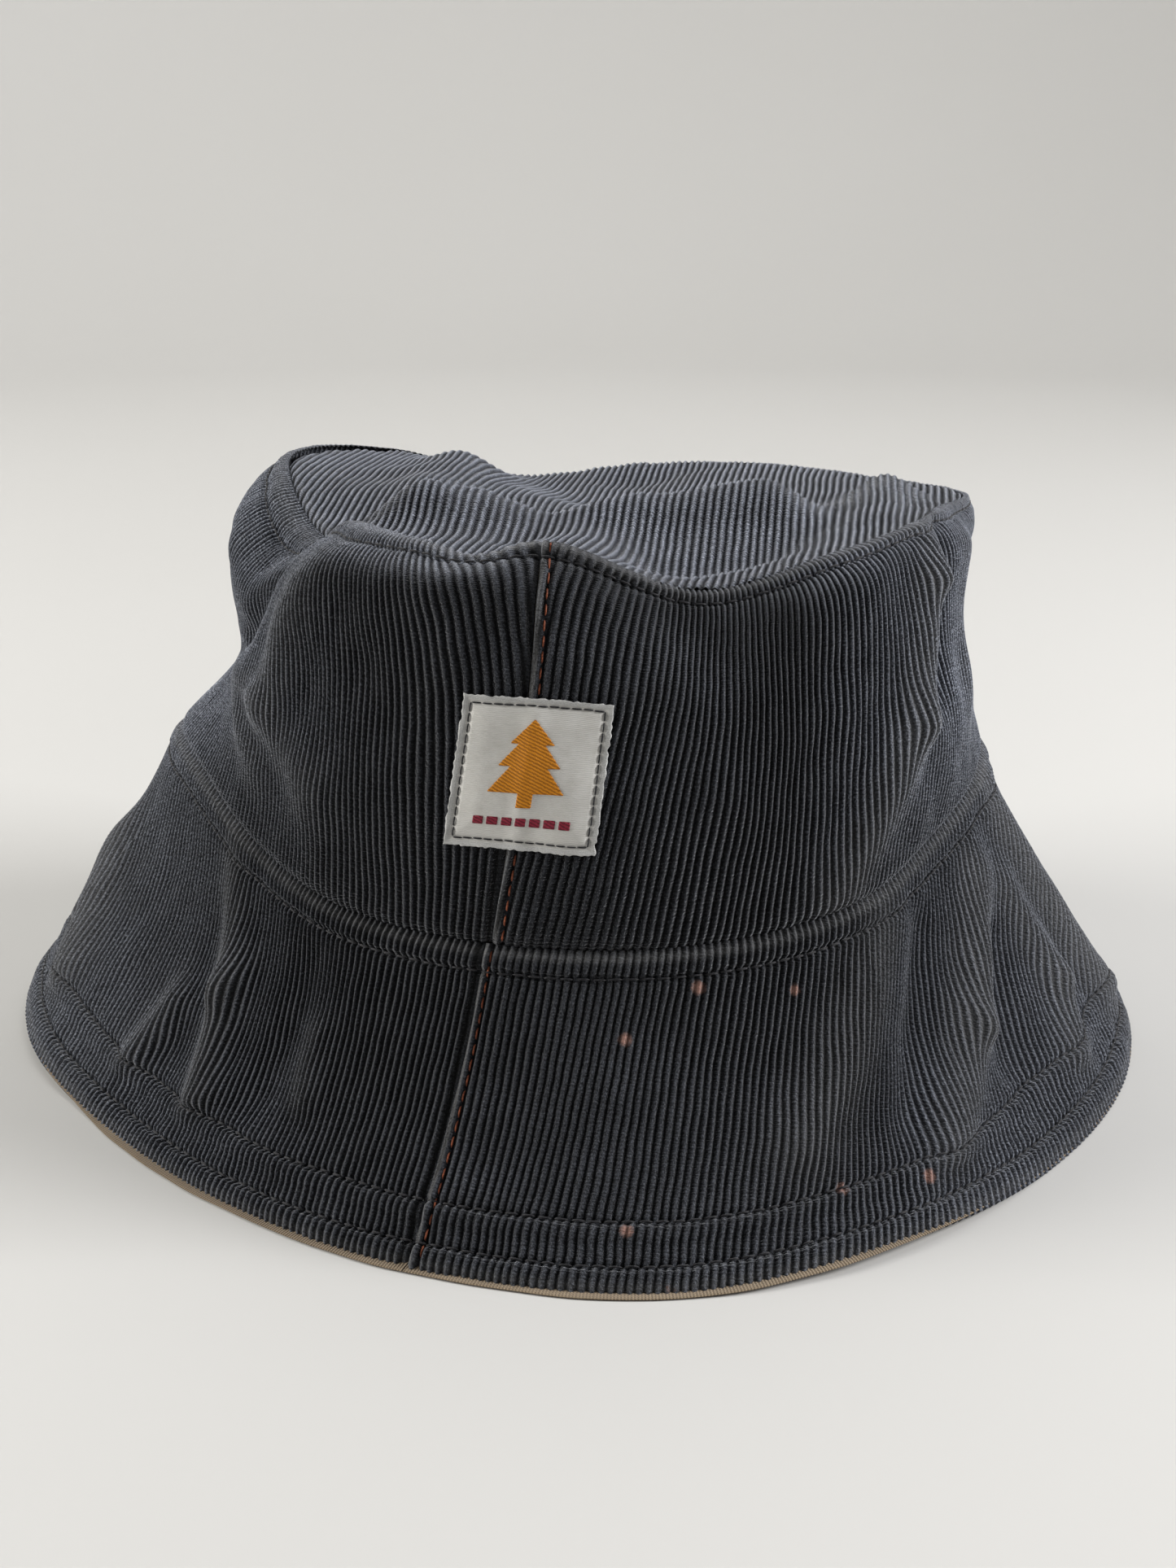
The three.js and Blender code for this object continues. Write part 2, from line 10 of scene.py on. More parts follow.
import bpy
import numpy as np
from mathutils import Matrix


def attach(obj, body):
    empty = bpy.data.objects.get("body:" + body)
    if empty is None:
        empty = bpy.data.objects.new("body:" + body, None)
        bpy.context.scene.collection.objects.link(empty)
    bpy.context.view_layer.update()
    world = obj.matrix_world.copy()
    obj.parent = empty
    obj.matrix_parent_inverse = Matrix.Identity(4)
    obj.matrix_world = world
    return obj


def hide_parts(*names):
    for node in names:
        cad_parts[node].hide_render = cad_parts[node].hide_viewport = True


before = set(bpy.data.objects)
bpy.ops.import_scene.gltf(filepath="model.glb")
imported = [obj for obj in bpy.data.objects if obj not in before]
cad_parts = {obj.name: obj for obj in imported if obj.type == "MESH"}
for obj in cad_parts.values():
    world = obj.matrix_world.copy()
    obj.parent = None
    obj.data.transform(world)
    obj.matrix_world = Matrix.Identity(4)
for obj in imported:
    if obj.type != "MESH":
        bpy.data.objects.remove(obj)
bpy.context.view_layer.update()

MM = 0.001
BODY = "root"

# ---- The hat's surfaces ----

STATIONS = 16  # control stations round the hat, counted from the front seam towards +X
HALF = STATIONS / 2

EDGE = {
    "centre": (-0.4, -0.9), "turn": -14,
    "radius": (123, 130, 128, 126, 128.5, 133, 134, 132, 131, 131, 132, 133, 134, 126.5, 116.5, 116.5),
    "height": (0, 0, 1.5, 0, 0, 0, 0, 0, 0, 0, 0, 0, 3, 3, 0, 0),
}
BASE = {
    "centre": (0, 0), "turn": -9,
    "radius": (90.5, 93, 92.5, 87.5, 91, 95, 95, 94, 93, 93, 94, 95, 93, 84.5, 82, 86),
    "height": (52, 52, 54, 58, 64, 66, 64, 61, 60, 60, 62, 65, 68, 66, 58, 53),
}
LOW = {
    "centre": (2, 0), "turn": -8,
    "radius": (88.5, 89.5, 90, 87.5, 85.5, 87.5, 91, 91, 91, 91, 90, 86, 80, 78.5, 81, 86.5),
    "height": (76, 75, 77, 79, 82, 83, 81, 79, 78, 78, 79, 82, 84, 82, 78, 76),
}
MIDDLE = {
    "centre": (5, 1), "turn": -8,
    "radius": (85, 84, 86, 81.5, 79.5, 82, 87, 87, 87, 87, 87, 86, 80, 80, 82, 85),
    "height": (99, 96, 98, 99, 100, 100, 99, 98, 98, 98, 99, 103, 99, 95, 98, 99),
}
SHOULDER = {
    "centre": (6, 2), "turn": -8,
    "radius": (80, 77.5, 83, 79.5, 79.5, 88, 88, 88, 88, 88, 89, 89, 84, 78, 78, 83),
    "height": (118, 109, 116, 118, 115, 114, 113, 112, 110.5, 110, 116, 120, 116, 107, 117, 119),
}
RIM = {
    "centre": (6, 2), "turn": -8,
    "radius": (74.7, 72.3, 75.5, 75, 74, 86, 84, 80, 80, 80, 82, 82, 71, 63.6, 64, 71),
    "height": (
        127.5, 117, 122.5, 124.5, 122.5, 120, 118.5, 119, 117, 113.5, 123, 127, 125, 118.6, 124.7, 125.7,
    ),
    "bumps": ((15.5, -3.6, 0.3), (13.5, -3, 0.3)),  # station, rise, width in stations
}
BAND_RINGS = (BASE, LOW, MIDDLE, SHOULDER, RIM)

# Folds: from and to as (station, share), rise and width in millimetres.
BAND_STATION_MM = 34.0
BAND_MM = 86.0
BAND_FOLDS = (
    ((14.1, 1.0), (12.9, 0.42), -4, 8),
    ((14.46, 0.86), (14.0, 0.4), 3, 7),
    ((12.85, 0.45), (13.86, 0.19), 2, 6),
    ((13.3, 0.45), (14.6, 0.24), 2, 6),
    ((2.93, 0.97), (2.8, 0.7), 3, 5),
    ((2.75, 0.68), (2.5, 0.37), 3, 6),
    ((2.5, 0.35), (1.98, 0.03), 3, 6),
    ((3.4, 0.97), (3.0, 0.4), -4, 6),
    ((3.9, 0.75), (3.8, 0.25), 1.5, 7),
    ((0.96, 0.8), (1.6, 0.35), -1.5, 14),
    ((9.4, 0.9), (8.4, 0.3), -3, 10),
    ((6.4, 0.85), (7.2, 0.25), 2.5, 9),
)
BRIM_STATION_MM = 44.0
BRIM_MM = 68.0
BRIM_HOLLOW = (3, 4, 7, 7.5, 4, 3, 3, 3, 3, 3, 3, 3, 1.5, 6, 7, 4)
BRIM_FOLDS = (
    ((13.85, 0.9), (14.2, 0.62), 3, 6),
    ((14.2, 0.62), (14.45, 0.28), 3.5, 5.5),
    ((13.8, 0.45), (13.8, 0.26), 2.5, 5),
    ((14.85, 0.8), (14.85, 0.35), -2, 7),
    ((15.05, 0.6), (15.15, 0.42), 1.5, 5),
    ((12.25, 0.6), (12.8, 0.26), 4.5, 8),
    ((3.5, 0.82), (2.95, 0.52), 3.5, 6.5),
    ((2.9, 0.46), (2.35, 0.24), 3, 6),
    ((2.7, 0.8), (2.2, 0.33), -2.5, 6),
    ((2.35, 0.9), (1.6, 0.4), 2.5, 8),
    ((3.75, 0.7), (3.85, 0.42), 2.5, 5.5),
    ((3.83, 0.36), (3.6, 0.2), 2.5, 5),
    ((3.4, 0.6), (3.1, 0.3), -2, 6),
    ((4.1, 0.9), (4.4, 0.2), 4, 9),
    ((7.1, 0.9), (6.8, 0.1), 3, 12),
    ((9.6, 0.9), (9.9, 0.15), -3, 12),
)
BRIM_FOLD_SCALE = 1.2  # the brim's folds stand this many times as high as in the CAD
TIP_CENTRE = (4.0, 6.0, 119.0)
TIP_SETTLE = 0.3
TIP_BOWL = 0.4
TIP_FOLDS = (  # from and to as (x, y)
    ((-42, -36), (-20, -26), 7, 10),
    ((-6, -26), (4, -24), 3.5, 8),
    ((16, -19), (40, -16), 8, 11),
    ((66, -32), (72, 14), 6, 8),
    ((20, -50), (42, -44), -4, 10),
    ((-38, -30), (-26, 56), 3.5, 9),
    ((12, 30), (16, 66), -4, 14),
)

BAND_TURN = -0.045  # stations from the control stations to the band's own
BRIM_TURN = (-0.02, -0.06)  # the same for the brim's edge, and what is added towards its join

CROWN_TOPSTITCH = 0.905
BRIM_JOIN_TOPSTITCH = 0.92
EDGE_TOPSTITCH_INNER = 0.22
EDGE_TOPSTITCH_OUTER = 0.09


def wander(a, b, size, seed):
    """Smooth noise from about -1 to 1, with lumps of a given size in the units of a and b."""
    draws = np.random.default_rng(seed)
    total = np.zeros(np.broadcast(a, b).shape)
    waves = 7
    for _ in range(waves):
        heading = draws.uniform(0, math.pi)
        length = size * draws.uniform(1.3, 2.8)
        phase = draws.uniform(0, 2 * math.pi)
        across = a * math.cos(heading) + b * math.sin(heading)
        total += np.sin(across * 2 * math.pi / length + phase)
    return total / math.sqrt(waves * 2)


def smooth_step(value, start, end):
    share = np.clip((value - start) / (end - start), 0, 1)
    return share * share * (3 - 2 * share)


def bell(value, width):
    return np.exp(-((value / width) ** 2))


def catmull_rom(before, start, end, after, share):
    return 0.5 * (
        2 * start
        + (end - before) * share
        + (2 * before - 5 * start + 4 * end - after) * share**2
        + (3 * start - before - 3 * end + after) * share**3
    )


def round_the_hat(values, station):
    """The smooth closed curve through one value for each station."""
    values = np.asarray(values, float)
    index = np.floor(station).astype(int)
    picked = [values[(index + offset) % STATIONS] for offset in (-1, 0, 1, 2)]
    return catmull_rom(*picked, station - index)


def ring_point(ring, station):
    heading = np.radians(ring["turn"] + station * 360 / STATIONS)
    radius = round_the_hat(ring["radius"], station)
    height = round_the_hat(ring["height"], station)
    for at, rise, width in ring.get("bumps", ()):
        away = station - at - STATIONS * np.round((station - at) / STATIONS)
        height = height + rise * bell(away, width)
    x = ring["centre"][0] + radius * np.sin(heading)
    y = ring["centre"][1] - radius * np.cos(heading)
    return np.stack([x, y, np.maximum(0, height)], -1)


def distance_to_segment(x, y, start, end):
    (x0, y0), (x1, y1) = start, end
    along = ((x - x0) * (x1 - x0) + (y - y0) * (y1 - y0)) / ((x1 - x0) ** 2 + (y1 - y0) ** 2)
    share = np.clip(along, 0, 1)
    return np.hypot(x - x0 - share * (x1 - x0), y - y0 - share * (y1 - y0))


def fold_height(folds, station, share, station_mm, share_mm):
    height = np.zeros(np.broadcast(station, share).shape)
    for start, end, rise, width in folds:
        middle = (start[0] + end[0]) / 2
        near = station - STATIONS * np.round((station - middle) / STATIONS)
        distance = distance_to_segment(
            near * station_mm,
            share * share_mm,
            (start[0] * station_mm, start[1] * share_mm),
            (end[0] * station_mm, end[1] * share_mm),
        )
        height += rise * bell(distance, width)
    return height


def outward(points):
    level = points * (1, 1, 0)
    return level / np.linalg.norm(level, axis=-1, keepdims=True)


def rumple(points, seed):
    """Small uneven waves of soft cloth, in millimetres."""
    heading = np.arctan2(points[..., 1], points[..., 0]) * 90
    height = points[..., 2]
    return 0.75 * wander(heading, height, 22, seed) + 0.3 * wander(heading, height, 9, seed + 1)


def band_surface(station, share):
    """Side band: share 0 is the join with the brim, and share 1 the seam with the tip."""
    station, share = np.broadcast_arrays(np.asarray(station, float), np.asarray(share, float))
    station = station + BAND_TURN
    rings = [ring_point(ring, station) for ring in BAND_RINGS]
    rings.insert(0, 2 * rings[0] - rings[1])
    rings.append(2 * rings[-1] - rings[-2])
    stack = np.stack(rings)
    spans = len(BAND_RINGS) - 1
    level = np.clip(share, 0, 1) * spans
    index = np.minimum(np.floor(level).astype(int), spans - 1)
    picked = [
        np.take_along_axis(stack, (index + offset)[None, ..., None], 0)[0] for offset in range(4)
    ]
    points = catmull_rom(*picked, (level - index)[..., None])
    fade = np.sin(math.pi * np.clip(share, 0, 1)) ** 0.5
    rise = fold_height(BAND_FOLDS, station, share, BAND_STATION_MM, BAND_MM) * fade
    rise = rise + rumple(points, 11) * fade
    return points + outward(points) * rise[..., None]


def brim_surface(station, share):
    """Brim: share 0 is its free edge, and share 1 the join with the side band."""
    station, share = np.broadcast_arrays(np.asarray(station, float), np.asarray(share, float))
    station = station + BRIM_TURN[0] + BRIM_TURN[1] * share
    edge = ring_point(EDGE, station)
    slope = ring_point(BASE, station) - edge
    points = edge + slope * share[..., None]
    fade = np.minimum(1, 4 * share * (1.25 - share))
    held = 1 - share**4
    rise = fold_height(BRIM_FOLDS, station, share, BRIM_STATION_MM, BRIM_MM)
    rise = (BRIM_FOLD_SCALE * rise + rumple(points, 23)) * fade * held
    run = np.hypot(slope[..., 0], slope[..., 1])
    down = np.stack(
        [slope[..., 0] * slope[..., 2] / run, slope[..., 1] * slope[..., 2] / run, -run], -1
    )
    down /= np.linalg.norm(down, axis=-1, keepdims=True)
    hollow = round_the_hat(BRIM_HOLLOW, station) * 4 * share * (1 - share)
    return points + outward(points) * rise[..., None] + down * hollow[..., None]


RIM_STATIONS = np.linspace(0, STATIONS, 1601)
RIM_CURVE = ring_point(RIM, RIM_STATIONS)
RIM_BEARING = np.unwrap(
    np.arctan2(RIM_CURVE[:, 0] - TIP_CENTRE[0], TIP_CENTRE[1] - RIM_CURVE[:, 1])
)


def rim_on_bearing(across, back):
    """Station of the rim in a direction from the tip's centre, and its distance."""
    bearing = np.arctan2(across, -back)
    bearing = RIM_BEARING[0] + (bearing - RIM_BEARING[0]) % (2 * math.pi)
    station = np.interp(bearing, RIM_BEARING, RIM_STATIONS)
    rim = ring_point(RIM, station)
    return station, np.hypot(rim[..., 0] - TIP_CENTRE[0], rim[..., 1] - TIP_CENTRE[1])


def tip_place(x, y):
    """Station and share (0 at the rim, 1 at the centre) of a place on the tip, and the reach
    from the centre to the rim on its bearing."""
    station, reach = rim_on_bearing(x - TIP_CENTRE[0], y - TIP_CENTRE[1])
    share = 1 - np.hypot(x - TIP_CENTRE[0], y - TIP_CENTRE[1]) / reach
    return station, share, reach


def tip_surface(x, y):
    station, share, _ = tip_place(x, y)
    rim_height = ring_point(RIM, station)[..., 2]
    settled = smooth_step(share, 0, TIP_SETTLE)
    height = rim_height + (TIP_CENTRE[2] - rim_height) * smooth_step(share, -TIP_BOWL, 1)
    for start, end, rise, width in TIP_FOLDS:
        height = height + settled * rise * bell(distance_to_segment(x, y, start, end), width)
    height = height + settled * (0.7 * wander(x, y, 20, 31) + 0.25 * wander(x, y, 9, 32))
    return np.stack([x, y, height], -1)


def grid_normals(points):
    """Unit normals of a grid of points whose first axis runs round the hat and second runs up."""
    along = np.gradient(points, axis=0)
    up = np.gradient(points, axis=1)
    normals = np.cross(along, up)
    return normals / np.maximum(np.linalg.norm(normals, axis=-1, keepdims=True), 1e-9)


def pulled_in(points, distance, level, down):
    """Draws cloth into a sewn seam: a move inward and down, fading with distance from the seam."""
    inward = outward(points) * level
    inward[..., 2] = down
    return points - inward * bell(distance, SEAM_WIDTH)[..., None]


def level_offset(points, normals, distance):
    """Moves points level with the ground by a distance measured across the cloth."""
    level = np.maximum(np.hypot(normals[..., 0], normals[..., 1]), 0.25)[..., None]
    return points + normals * (1, 1, 0) / level**2 * distance


# ---- Meshes ----

FLOOR_CLEARANCE = 0.02  # points that are lower than this are lifted to it


def make_piece(name, points, faces, slot, maps=None):
    """A smooth mesh that rides on the hat's body and stands for the CAD node of its name.
    maps holds uv and float values by name."""
    points = np.asarray(points, float).reshape(-1, 3)
    points = np.maximum(points, (-np.inf, -np.inf, FLOOR_CLEARANCE))
    faces = np.asarray(faces, int)
    mesh = bpy.data.meshes.new(name)
    mesh.vertices.add(len(points))
    mesh.vertices.foreach_set("co", (points * MM).ravel())
    mesh.loops.add(faces.size)
    mesh.loops.foreach_set("vertex_index", faces.ravel())
    mesh.polygons.add(len(faces))
    mesh.polygons.foreach_set("loop_start", np.arange(len(faces)) * faces.shape[1])
    mesh.update(calc_edges=True)
    mesh.shade_smooth()
    for key, values in (maps or {}).items():
        values = np.asarray(values, float)
        if key == "cloth":
            layer = mesh.uv_layers.new(name=key)
            layer.data.foreach_set("uv", values.reshape(-1, 2)[faces.ravel()].ravel())
        else:
            mesh.attributes.new(key, "FLOAT", "POINT").data.foreach_set("value", values.ravel())
    piece = bpy.data.objects.new(name, mesh)
    bpy.context.scene.collection.objects.link(piece)
    piece.data.materials.append(MATERIALS[slot])
    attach(piece, BODY)
    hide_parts(name)
    return piece


def grid_faces(columns, rows, wrapped=False):
    """Quads of a grid, seen counter-clockwise from outside where columns run round the hat."""
    spans = columns if wrapped else columns - 1
    i, j = np.meshgrid(np.arange(spans), np.arange(rows - 1), indexing="ij")
    after = (i + 1) % columns
    corners = [i * rows + j, after * rows + j, after * rows + j + 1, i * rows + j + 1]
    return np.stack(corners, -1).reshape(-1, 4)


def spaced(start, end, spacing):
    """Values from start to end whose steps follow spacing(value)."""
    fine = np.linspace(start, end, 4001)
    density = 1 / spacing(fine)
    count = np.concatenate([[0], np.cumsum((density[1:] + density[:-1]) / 2 * np.diff(fine))])
    steps = max(2, int(round(count[-1])))
    return np.interp(np.linspace(0, count[-1], steps + 1), count, fine)


# ---- Corduroy ----

RIB_PITCH = 1.66
RIB_DEPTH = 0.62
SEAM_WIDTH = 1.0  # reach of a sewn seam's groove
LAP_STITCH = 2.04  # from a folded seam edge to its stitching
ROW_GROOVE = 0.7  # depth of a topstitched row
ROW_GROOVE_WIDTH = 0.55
ROW_PUCKER = 0.28  # height of the puckers beside a row
ROW_PUFF = 0.5  # height of the puffed allowance beside a row
FEED_SHIFT = 0.55  # how far a row of stitching shifts the ribs beyond it
BRIM_PATTERN_TURN = 0.157  # radians of the brim's flat pattern for one station
BRIM_PATTERN_EDGE = 310  # radius of the flat pattern's free edge
BRIM_PATTERN_WIDTH = 67


def rib_relief(across, along):
    """Height of the corduroy's ribs, from 0 on a crest down to -RIB_DEPTH in a groove."""
    crest = 0.5 + 0.5 * np.cos(2 * math.pi * across / RIB_PITCH)
    uneven = 1 + 0.16 * wander(across * 3, along, 6, 41)
    return -RIB_DEPTH * (1 - crest**0.75) * uneven


def seam_relief(from_fold, from_tuck):
    """Relief beside a panel's two upright seams. Its first edge is folded over the seam and
    stitched down, and its last edge is tucked under its neighbour's fold."""
    lap = 0.5 * (1 - smooth_step(from_fold, 1.2, 2.1))
    allowance = 0.3 * smooth_step(from_fold, 2.2, 3.4) * (1 - smooth_step(from_fold, 6.5, 9))
    stitched = -0.5 * bell(from_fold - LAP_STITCH, 0.45)
    folded = -1.3 * (1 - smooth_step(from_fold, -0.2, 0.7))
    tucked = -1.3 * bell(from_tuck, 1.3)
    return lap + allowance + stitched + folded + tucked


def stitched_relief(distance, along, puff_side, seed):
    """Groove of a topstitched row, the puckers beside it, and a puffed allowance on one side."""
    groove = -ROW_GROOVE * bell(distance, ROW_GROOVE_WIDTH)
    puckers = ROW_PUCKER * wander(along, distance * 0.3, 4.5, seed) * bell(distance, 3.5)
    puffed = ROW_PUFF * smooth_step(distance * puff_side, 0.2, 1.2)
    return groove + puckers + puffed * (1 - smooth_step(distance * puff_side, 2.5, 5))


def paleness(points, normals):
    """How much paler the cloth is drawn on top of the crown and at its sides.

    This stands in for light that fell on those places as well as for any fading of the cloth.
    """
    up = np.clip(normals[..., 2], 0, 1) ** 3
    sides = np.clip(1.9 * (np.abs(points[..., 0]) / 100 - 0.42), 0, 0.95)
    on_crown = 0.3 + 0.7 * smooth_step(points[..., 2], 55, 90)
    return np.clip((1.5 * up + sides) * on_crown, 0, 1.5)


def worn(from_fold, from_tuck, folds):
    """How worn the pile is: on folded seam edges and along the crests of folds."""
    edge = 0.4 * bell(from_fold - 0.5, 0.55)
    return np.clip(edge + 0.07 * np.clip(folds, 0, 4) + 0.1 * bell(from_tuck, 1.5), 0, 1)


def wavering(across, along):
    """Ribs of soft cloth waver from side to side."""
    return across + 0.42 * wander(across, along, 15, 51) + 0.1 * wander(across, along, 5, 52)


def corduroy_panel(name, surface, stations, shares, ribs, relief, wear, draw, jog):
    """A panel of corduroy over a grid of stations and shares."""
    station, share = np.meshgrid(stations, shares, indexing="ij")
    base = surface(station, share)
    across, along = ribs(station, share)
    across = wavering(across, along) + jog(station, share)
    height = relief(station, share) + rib_relief(across, along)
    points = draw(base + grid_normals(base) * height[..., None], share)
    maps = {
        "cloth": np.stack([across, along], -1),
        "wear": wear(station, share),
        # fade: painted light on the crown's top and sides, together with some fading of the cloth
        "fade": paleness(base, grid_normals(base)),
    }
    piece = make_piece(
        name, points, grid_faces(len(stations), len(shares)), "corduroy", maps
    )
    return piece


def side_stations(side, spacing_mm, inset_mm, station_mm):
    """Stations across one half of the hat, as steps of spacing_mm(distance from the front)."""
    inset = inset_mm / station_mm
    steps = spaced(inset, HALF - inset, lambda s: spacing_mm(s) / station_mm)
    return steps if side == "right" else STATIONS - steps[::-1]


def from_front(station):
    """Station counted from the front seam, negative on the hat's left half."""
    return np.where(station > HALF, station - STATIONS, station)


def seam_distances(station, station_mm):
    """Distances from a half panel's folded first edge and tucked last edge."""
    from_fold = (station % HALF) * station_mm
    return from_fold, HALF * station_mm - from_fold


RIM_MM = 44.0  # surface length for one unit of the band's share, near the rim


def band_ribs(station, share):
    """Ribs run up the band, fanning out a little beside the front seam."""
    s = from_front(station)
    right = -10 * share * bell(s - 0.7, 0.9) + 4 * share * bell(s - 2.1, 0.7)
    left = 18 * share**1.3 * bell(s + 0.85, 0.9)
    across = BAND_STATION_MM * s + np.where(s > 0, right, left)
    return across, share * BAND_MM


def band_relief(station, share):
    from_fold, from_tuck = seam_distances(station, BAND_STATION_MM)
    along = station * BAND_STATION_MM
    height = seam_relief(from_fold, from_tuck)
    return height + stitched_relief((share - CROWN_TOPSTITCH) * RIM_MM, along, 1, 61)


def row_jog(distance, along, puff_side, seed):
    """How far the feed of the machine has shifted the ribs beyond a topstitched row."""
    beyond = smooth_step(distance * puff_side, -0.3, 0.3)
    fading = 1 - smooth_step(distance * puff_side, 3, 8)
    return FEED_SHIFT * (0.6 + 0.5 * wander(along, along * 0, 30, seed)) * beyond * fading


def band_jog(station, share):
    along = station * BAND_STATION_MM
    return row_jog((share - CROWN_TOPSTITCH) * RIM_MM, along, 1, 91)


def band_draw(points, share):
    """Draws the band into the seam with the tip and the join with the brim."""
    points = pulled_in(points, (1 - share) * RIM_MM, 0.6, 0.6)
    return pulled_in(points, share * BAND_MM, 1.0, 0.0)


def band_wear(station, share):
    from_fold, from_tuck = seam_distances(station, BAND_STATION_MM)
    folds = fold_height(BAND_FOLDS, station, share, BAND_STATION_MM, BAND_MM)
    rim = 0.3 * bell((0.965 - share) * RIM_MM, 1.3)
    return np.clip(worn(from_fold, from_tuck, folds) + rim, 0, 1)


BRIM_START = 0.008  # share where the brim's corduroy ends above the lining's rolled edge


def brim_ribs(station, share):
    """Ribs are straight lines in the flat brim, and run beside the front seam."""
    radius = BRIM_PATTERN_EDGE - BRIM_PATTERN_WIDTH * share
    turn = BRIM_PATTERN_TURN * from_front(station)
    return radius * np.sin(turn), -radius * np.cos(turn)


def brim_relief(station, share):
    from_fold, from_tuck = seam_distances(station, BRIM_STATION_MM)
    along = station * BRIM_STATION_MM
    height = seam_relief(from_fold, from_tuck)
    for row, puff_side, seed in (
        (BRIM_JOIN_TOPSTITCH, 1, 62),
        (EDGE_TOPSTITCH_INNER, -1, 63),
        (EDGE_TOPSTITCH_OUTER, -1, 64),
    ):
        height = height + stitched_relief((share - row) * BRIM_MM, along, puff_side, seed)
    from_edge = (share - BRIM_START) * BRIM_MM
    return height - 0.4 * bell(from_edge, 0.8)


def brim_jog(station, share):
    along = station * BRIM_STATION_MM
    join = row_jog((share - BRIM_JOIN_TOPSTITCH) * BRIM_MM, along, 1, 92)
    inner = row_jog((share - EDGE_TOPSTITCH_INNER) * BRIM_MM, along, -1, 93)
    return join + inner + row_jog((share - EDGE_TOPSTITCH_OUTER) * BRIM_MM, along, -1, 94)


def brim_draw(points, share):
    """Draws the brim into its join with the band."""
    return pulled_in(points, (1 - share) * BRIM_MM, 1.0, 0.0)


def brim_wear(station, share):
    from_fold, from_tuck = seam_distances(station, BRIM_STATION_MM)
    folds = fold_height(BRIM_FOLDS, station, share, BRIM_STATION_MM, BRIM_MM)
    join = 0.3 * bell((0.98 - share) * BRIM_MM, 0.9)
    edge = 0.2 * bell((share - 0.03) * BRIM_MM, 1.0)
    return np.clip(worn(from_fold, from_tuck, folds) + join + edge, 0, 1)


def add_side_band(side):
    stations = side_stations(side, lambda s: 0.285 + 0 * s, 0.1, BAND_STATION_MM)
    shares = spaced(0.0, 1.0, lambda v: np.where(v > 0.75, 0.016, 0.0125))
    corduroy_panel(
        f"side_band_{side}", band_surface, stations, shares, band_ribs, band_relief, band_wear,
        band_draw, band_jog,
    )


def add_brim(side):
    def spacing(s):
        return np.where(s < 2.2, 0.31, 0.44 / np.cos(BRIM_PATTERN_TURN * s))

    stations = side_stations(side, spacing, 0.1, BRIM_STATION_MM)
    shares = np.linspace(BRIM_START, 1.0, 141)
    corduroy_panel(
        f"brim_{side}", brim_surface, stations, shares, brim_ribs, brim_relief, brim_wear,
        brim_draw, brim_jog,
    )


TIP_HEADING = math.radians(8)  # the ribs of the tip run from front to back, turned with the crown
TIP_BACK = np.array([math.sin(TIP_HEADING), math.cos(TIP_HEADING)])
TIP_ACROSS = np.array([math.cos(TIP_HEADING), -math.sin(TIP_HEADING)])


def tip_grid(columns, rows, shrink=1.0):
    """A grid of places over the tip, as a round grid of parallel columns stretched to the rim."""
    column = np.linspace(-1, 1, columns + 2)[1:-1]
    steps = np.linspace(-1, 1, rows)
    eased = 0.4 * steps + 0.6 * np.sin(math.pi / 2 * steps)
    column = np.broadcast_to(column[:, None], (columns, rows)) * shrink
    row = np.sqrt(shrink**2 - column**2) * eased[None, :]
    place = column[..., None] * TIP_ACROSS + row[..., None] * TIP_BACK
    _, reach = rim_on_bearing(place[..., 0], place[..., 1])
    x = TIP_CENTRE[0] + place[..., 0] * reach
    y = TIP_CENTRE[1] + place[..., 1] * reach
    across = x * TIP_ACROSS[0] + y * TIP_ACROSS[1]
    along = x * TIP_BACK[0] + y * TIP_BACK[1]
    return x, y, across, along


def add_tip():
    x, y, across, along = tip_grid(560, 124)
    base = tip_surface(x, y)
    station, share, reach = tip_place(x, y)
    from_rim = share * reach
    across = wavering(across, along)
    height = rib_relief(across, along)
    pulled = 0.25 * wander(station * 30, from_rim * 0.3, 5, 65) * bell(from_rim, 5)
    height = height + pulled
    points = pulled_in(base + grid_normals(base) * height[..., None], from_rim, 0.6, 0.6)
    maps = {
        "cloth": np.stack([across, along], -1),
        "wear": np.clip(0.2 * bell(from_rim - 2, 1.5), 0, 1),
        # fade: painted light on the crown's top and sides, together with some fading of the cloth
        "fade": paleness(base, grid_normals(base)),
    }
    faces = grid_faces(*x.shape)
    piece = make_piece("crown_tip", points, faces, "corduroy", maps)


# ---- Lining and interfacing ----

LINING_DEPTH = 2.6  # from the corduroy's face to the crown's lining
INTERFACING_DEPTH = 1.75


def inner_panel(name, slot, points, across, along):
    """A smooth sheet of cloth that lies inside the hat's corduroy."""
    maps = {"cloth": np.stack([across, along], -1)}
    piece = make_piece(name, points, grid_faces(*points.shape[:2]), slot, maps)


def add_band_lining(side):
    stations = side_stations(side, lambda s: 0.8 + 0 * s, 0.1, BAND_STATION_MM)
    station, share = np.meshgrid(stations, np.linspace(0.0, 0.97, 70), indexing="ij")
    base = band_surface(station, share)
    points = base - grid_normals(base) * LINING_DEPTH
    inner_panel(
        f"side_band_lining_{side}", "lining_knit", points, station * BAND_STATION_MM,
        share * BAND_MM,
    )


# The rolled lower edge of the brim's lining: shares of the way up, and distances outside the
# corduroy's surface where the roll shows.
LINING_ROLL = (
    (0.022, -1.6), (0.016, -1.5), (0.011, -1.2), (0.009, -0.6), (0.0075, -0.1), (0.006, 0.3),
    (0.004, 0.45), (0.002, 0.42), (0.0, 0.15), (0.0, -0.8), (0.0, -1.8), (0.0, -2.7),
    (0.008, -3.2), (0.022, -3.3), (0.05, -3.1),
)
ROLL_POINTS = 10  # this many points of the profile make up the roll
ROLL_TUCK = 1.1  # how far the roll sits further in where the corduroy hides it
BRIM_LINING_DEPTH = 3.1


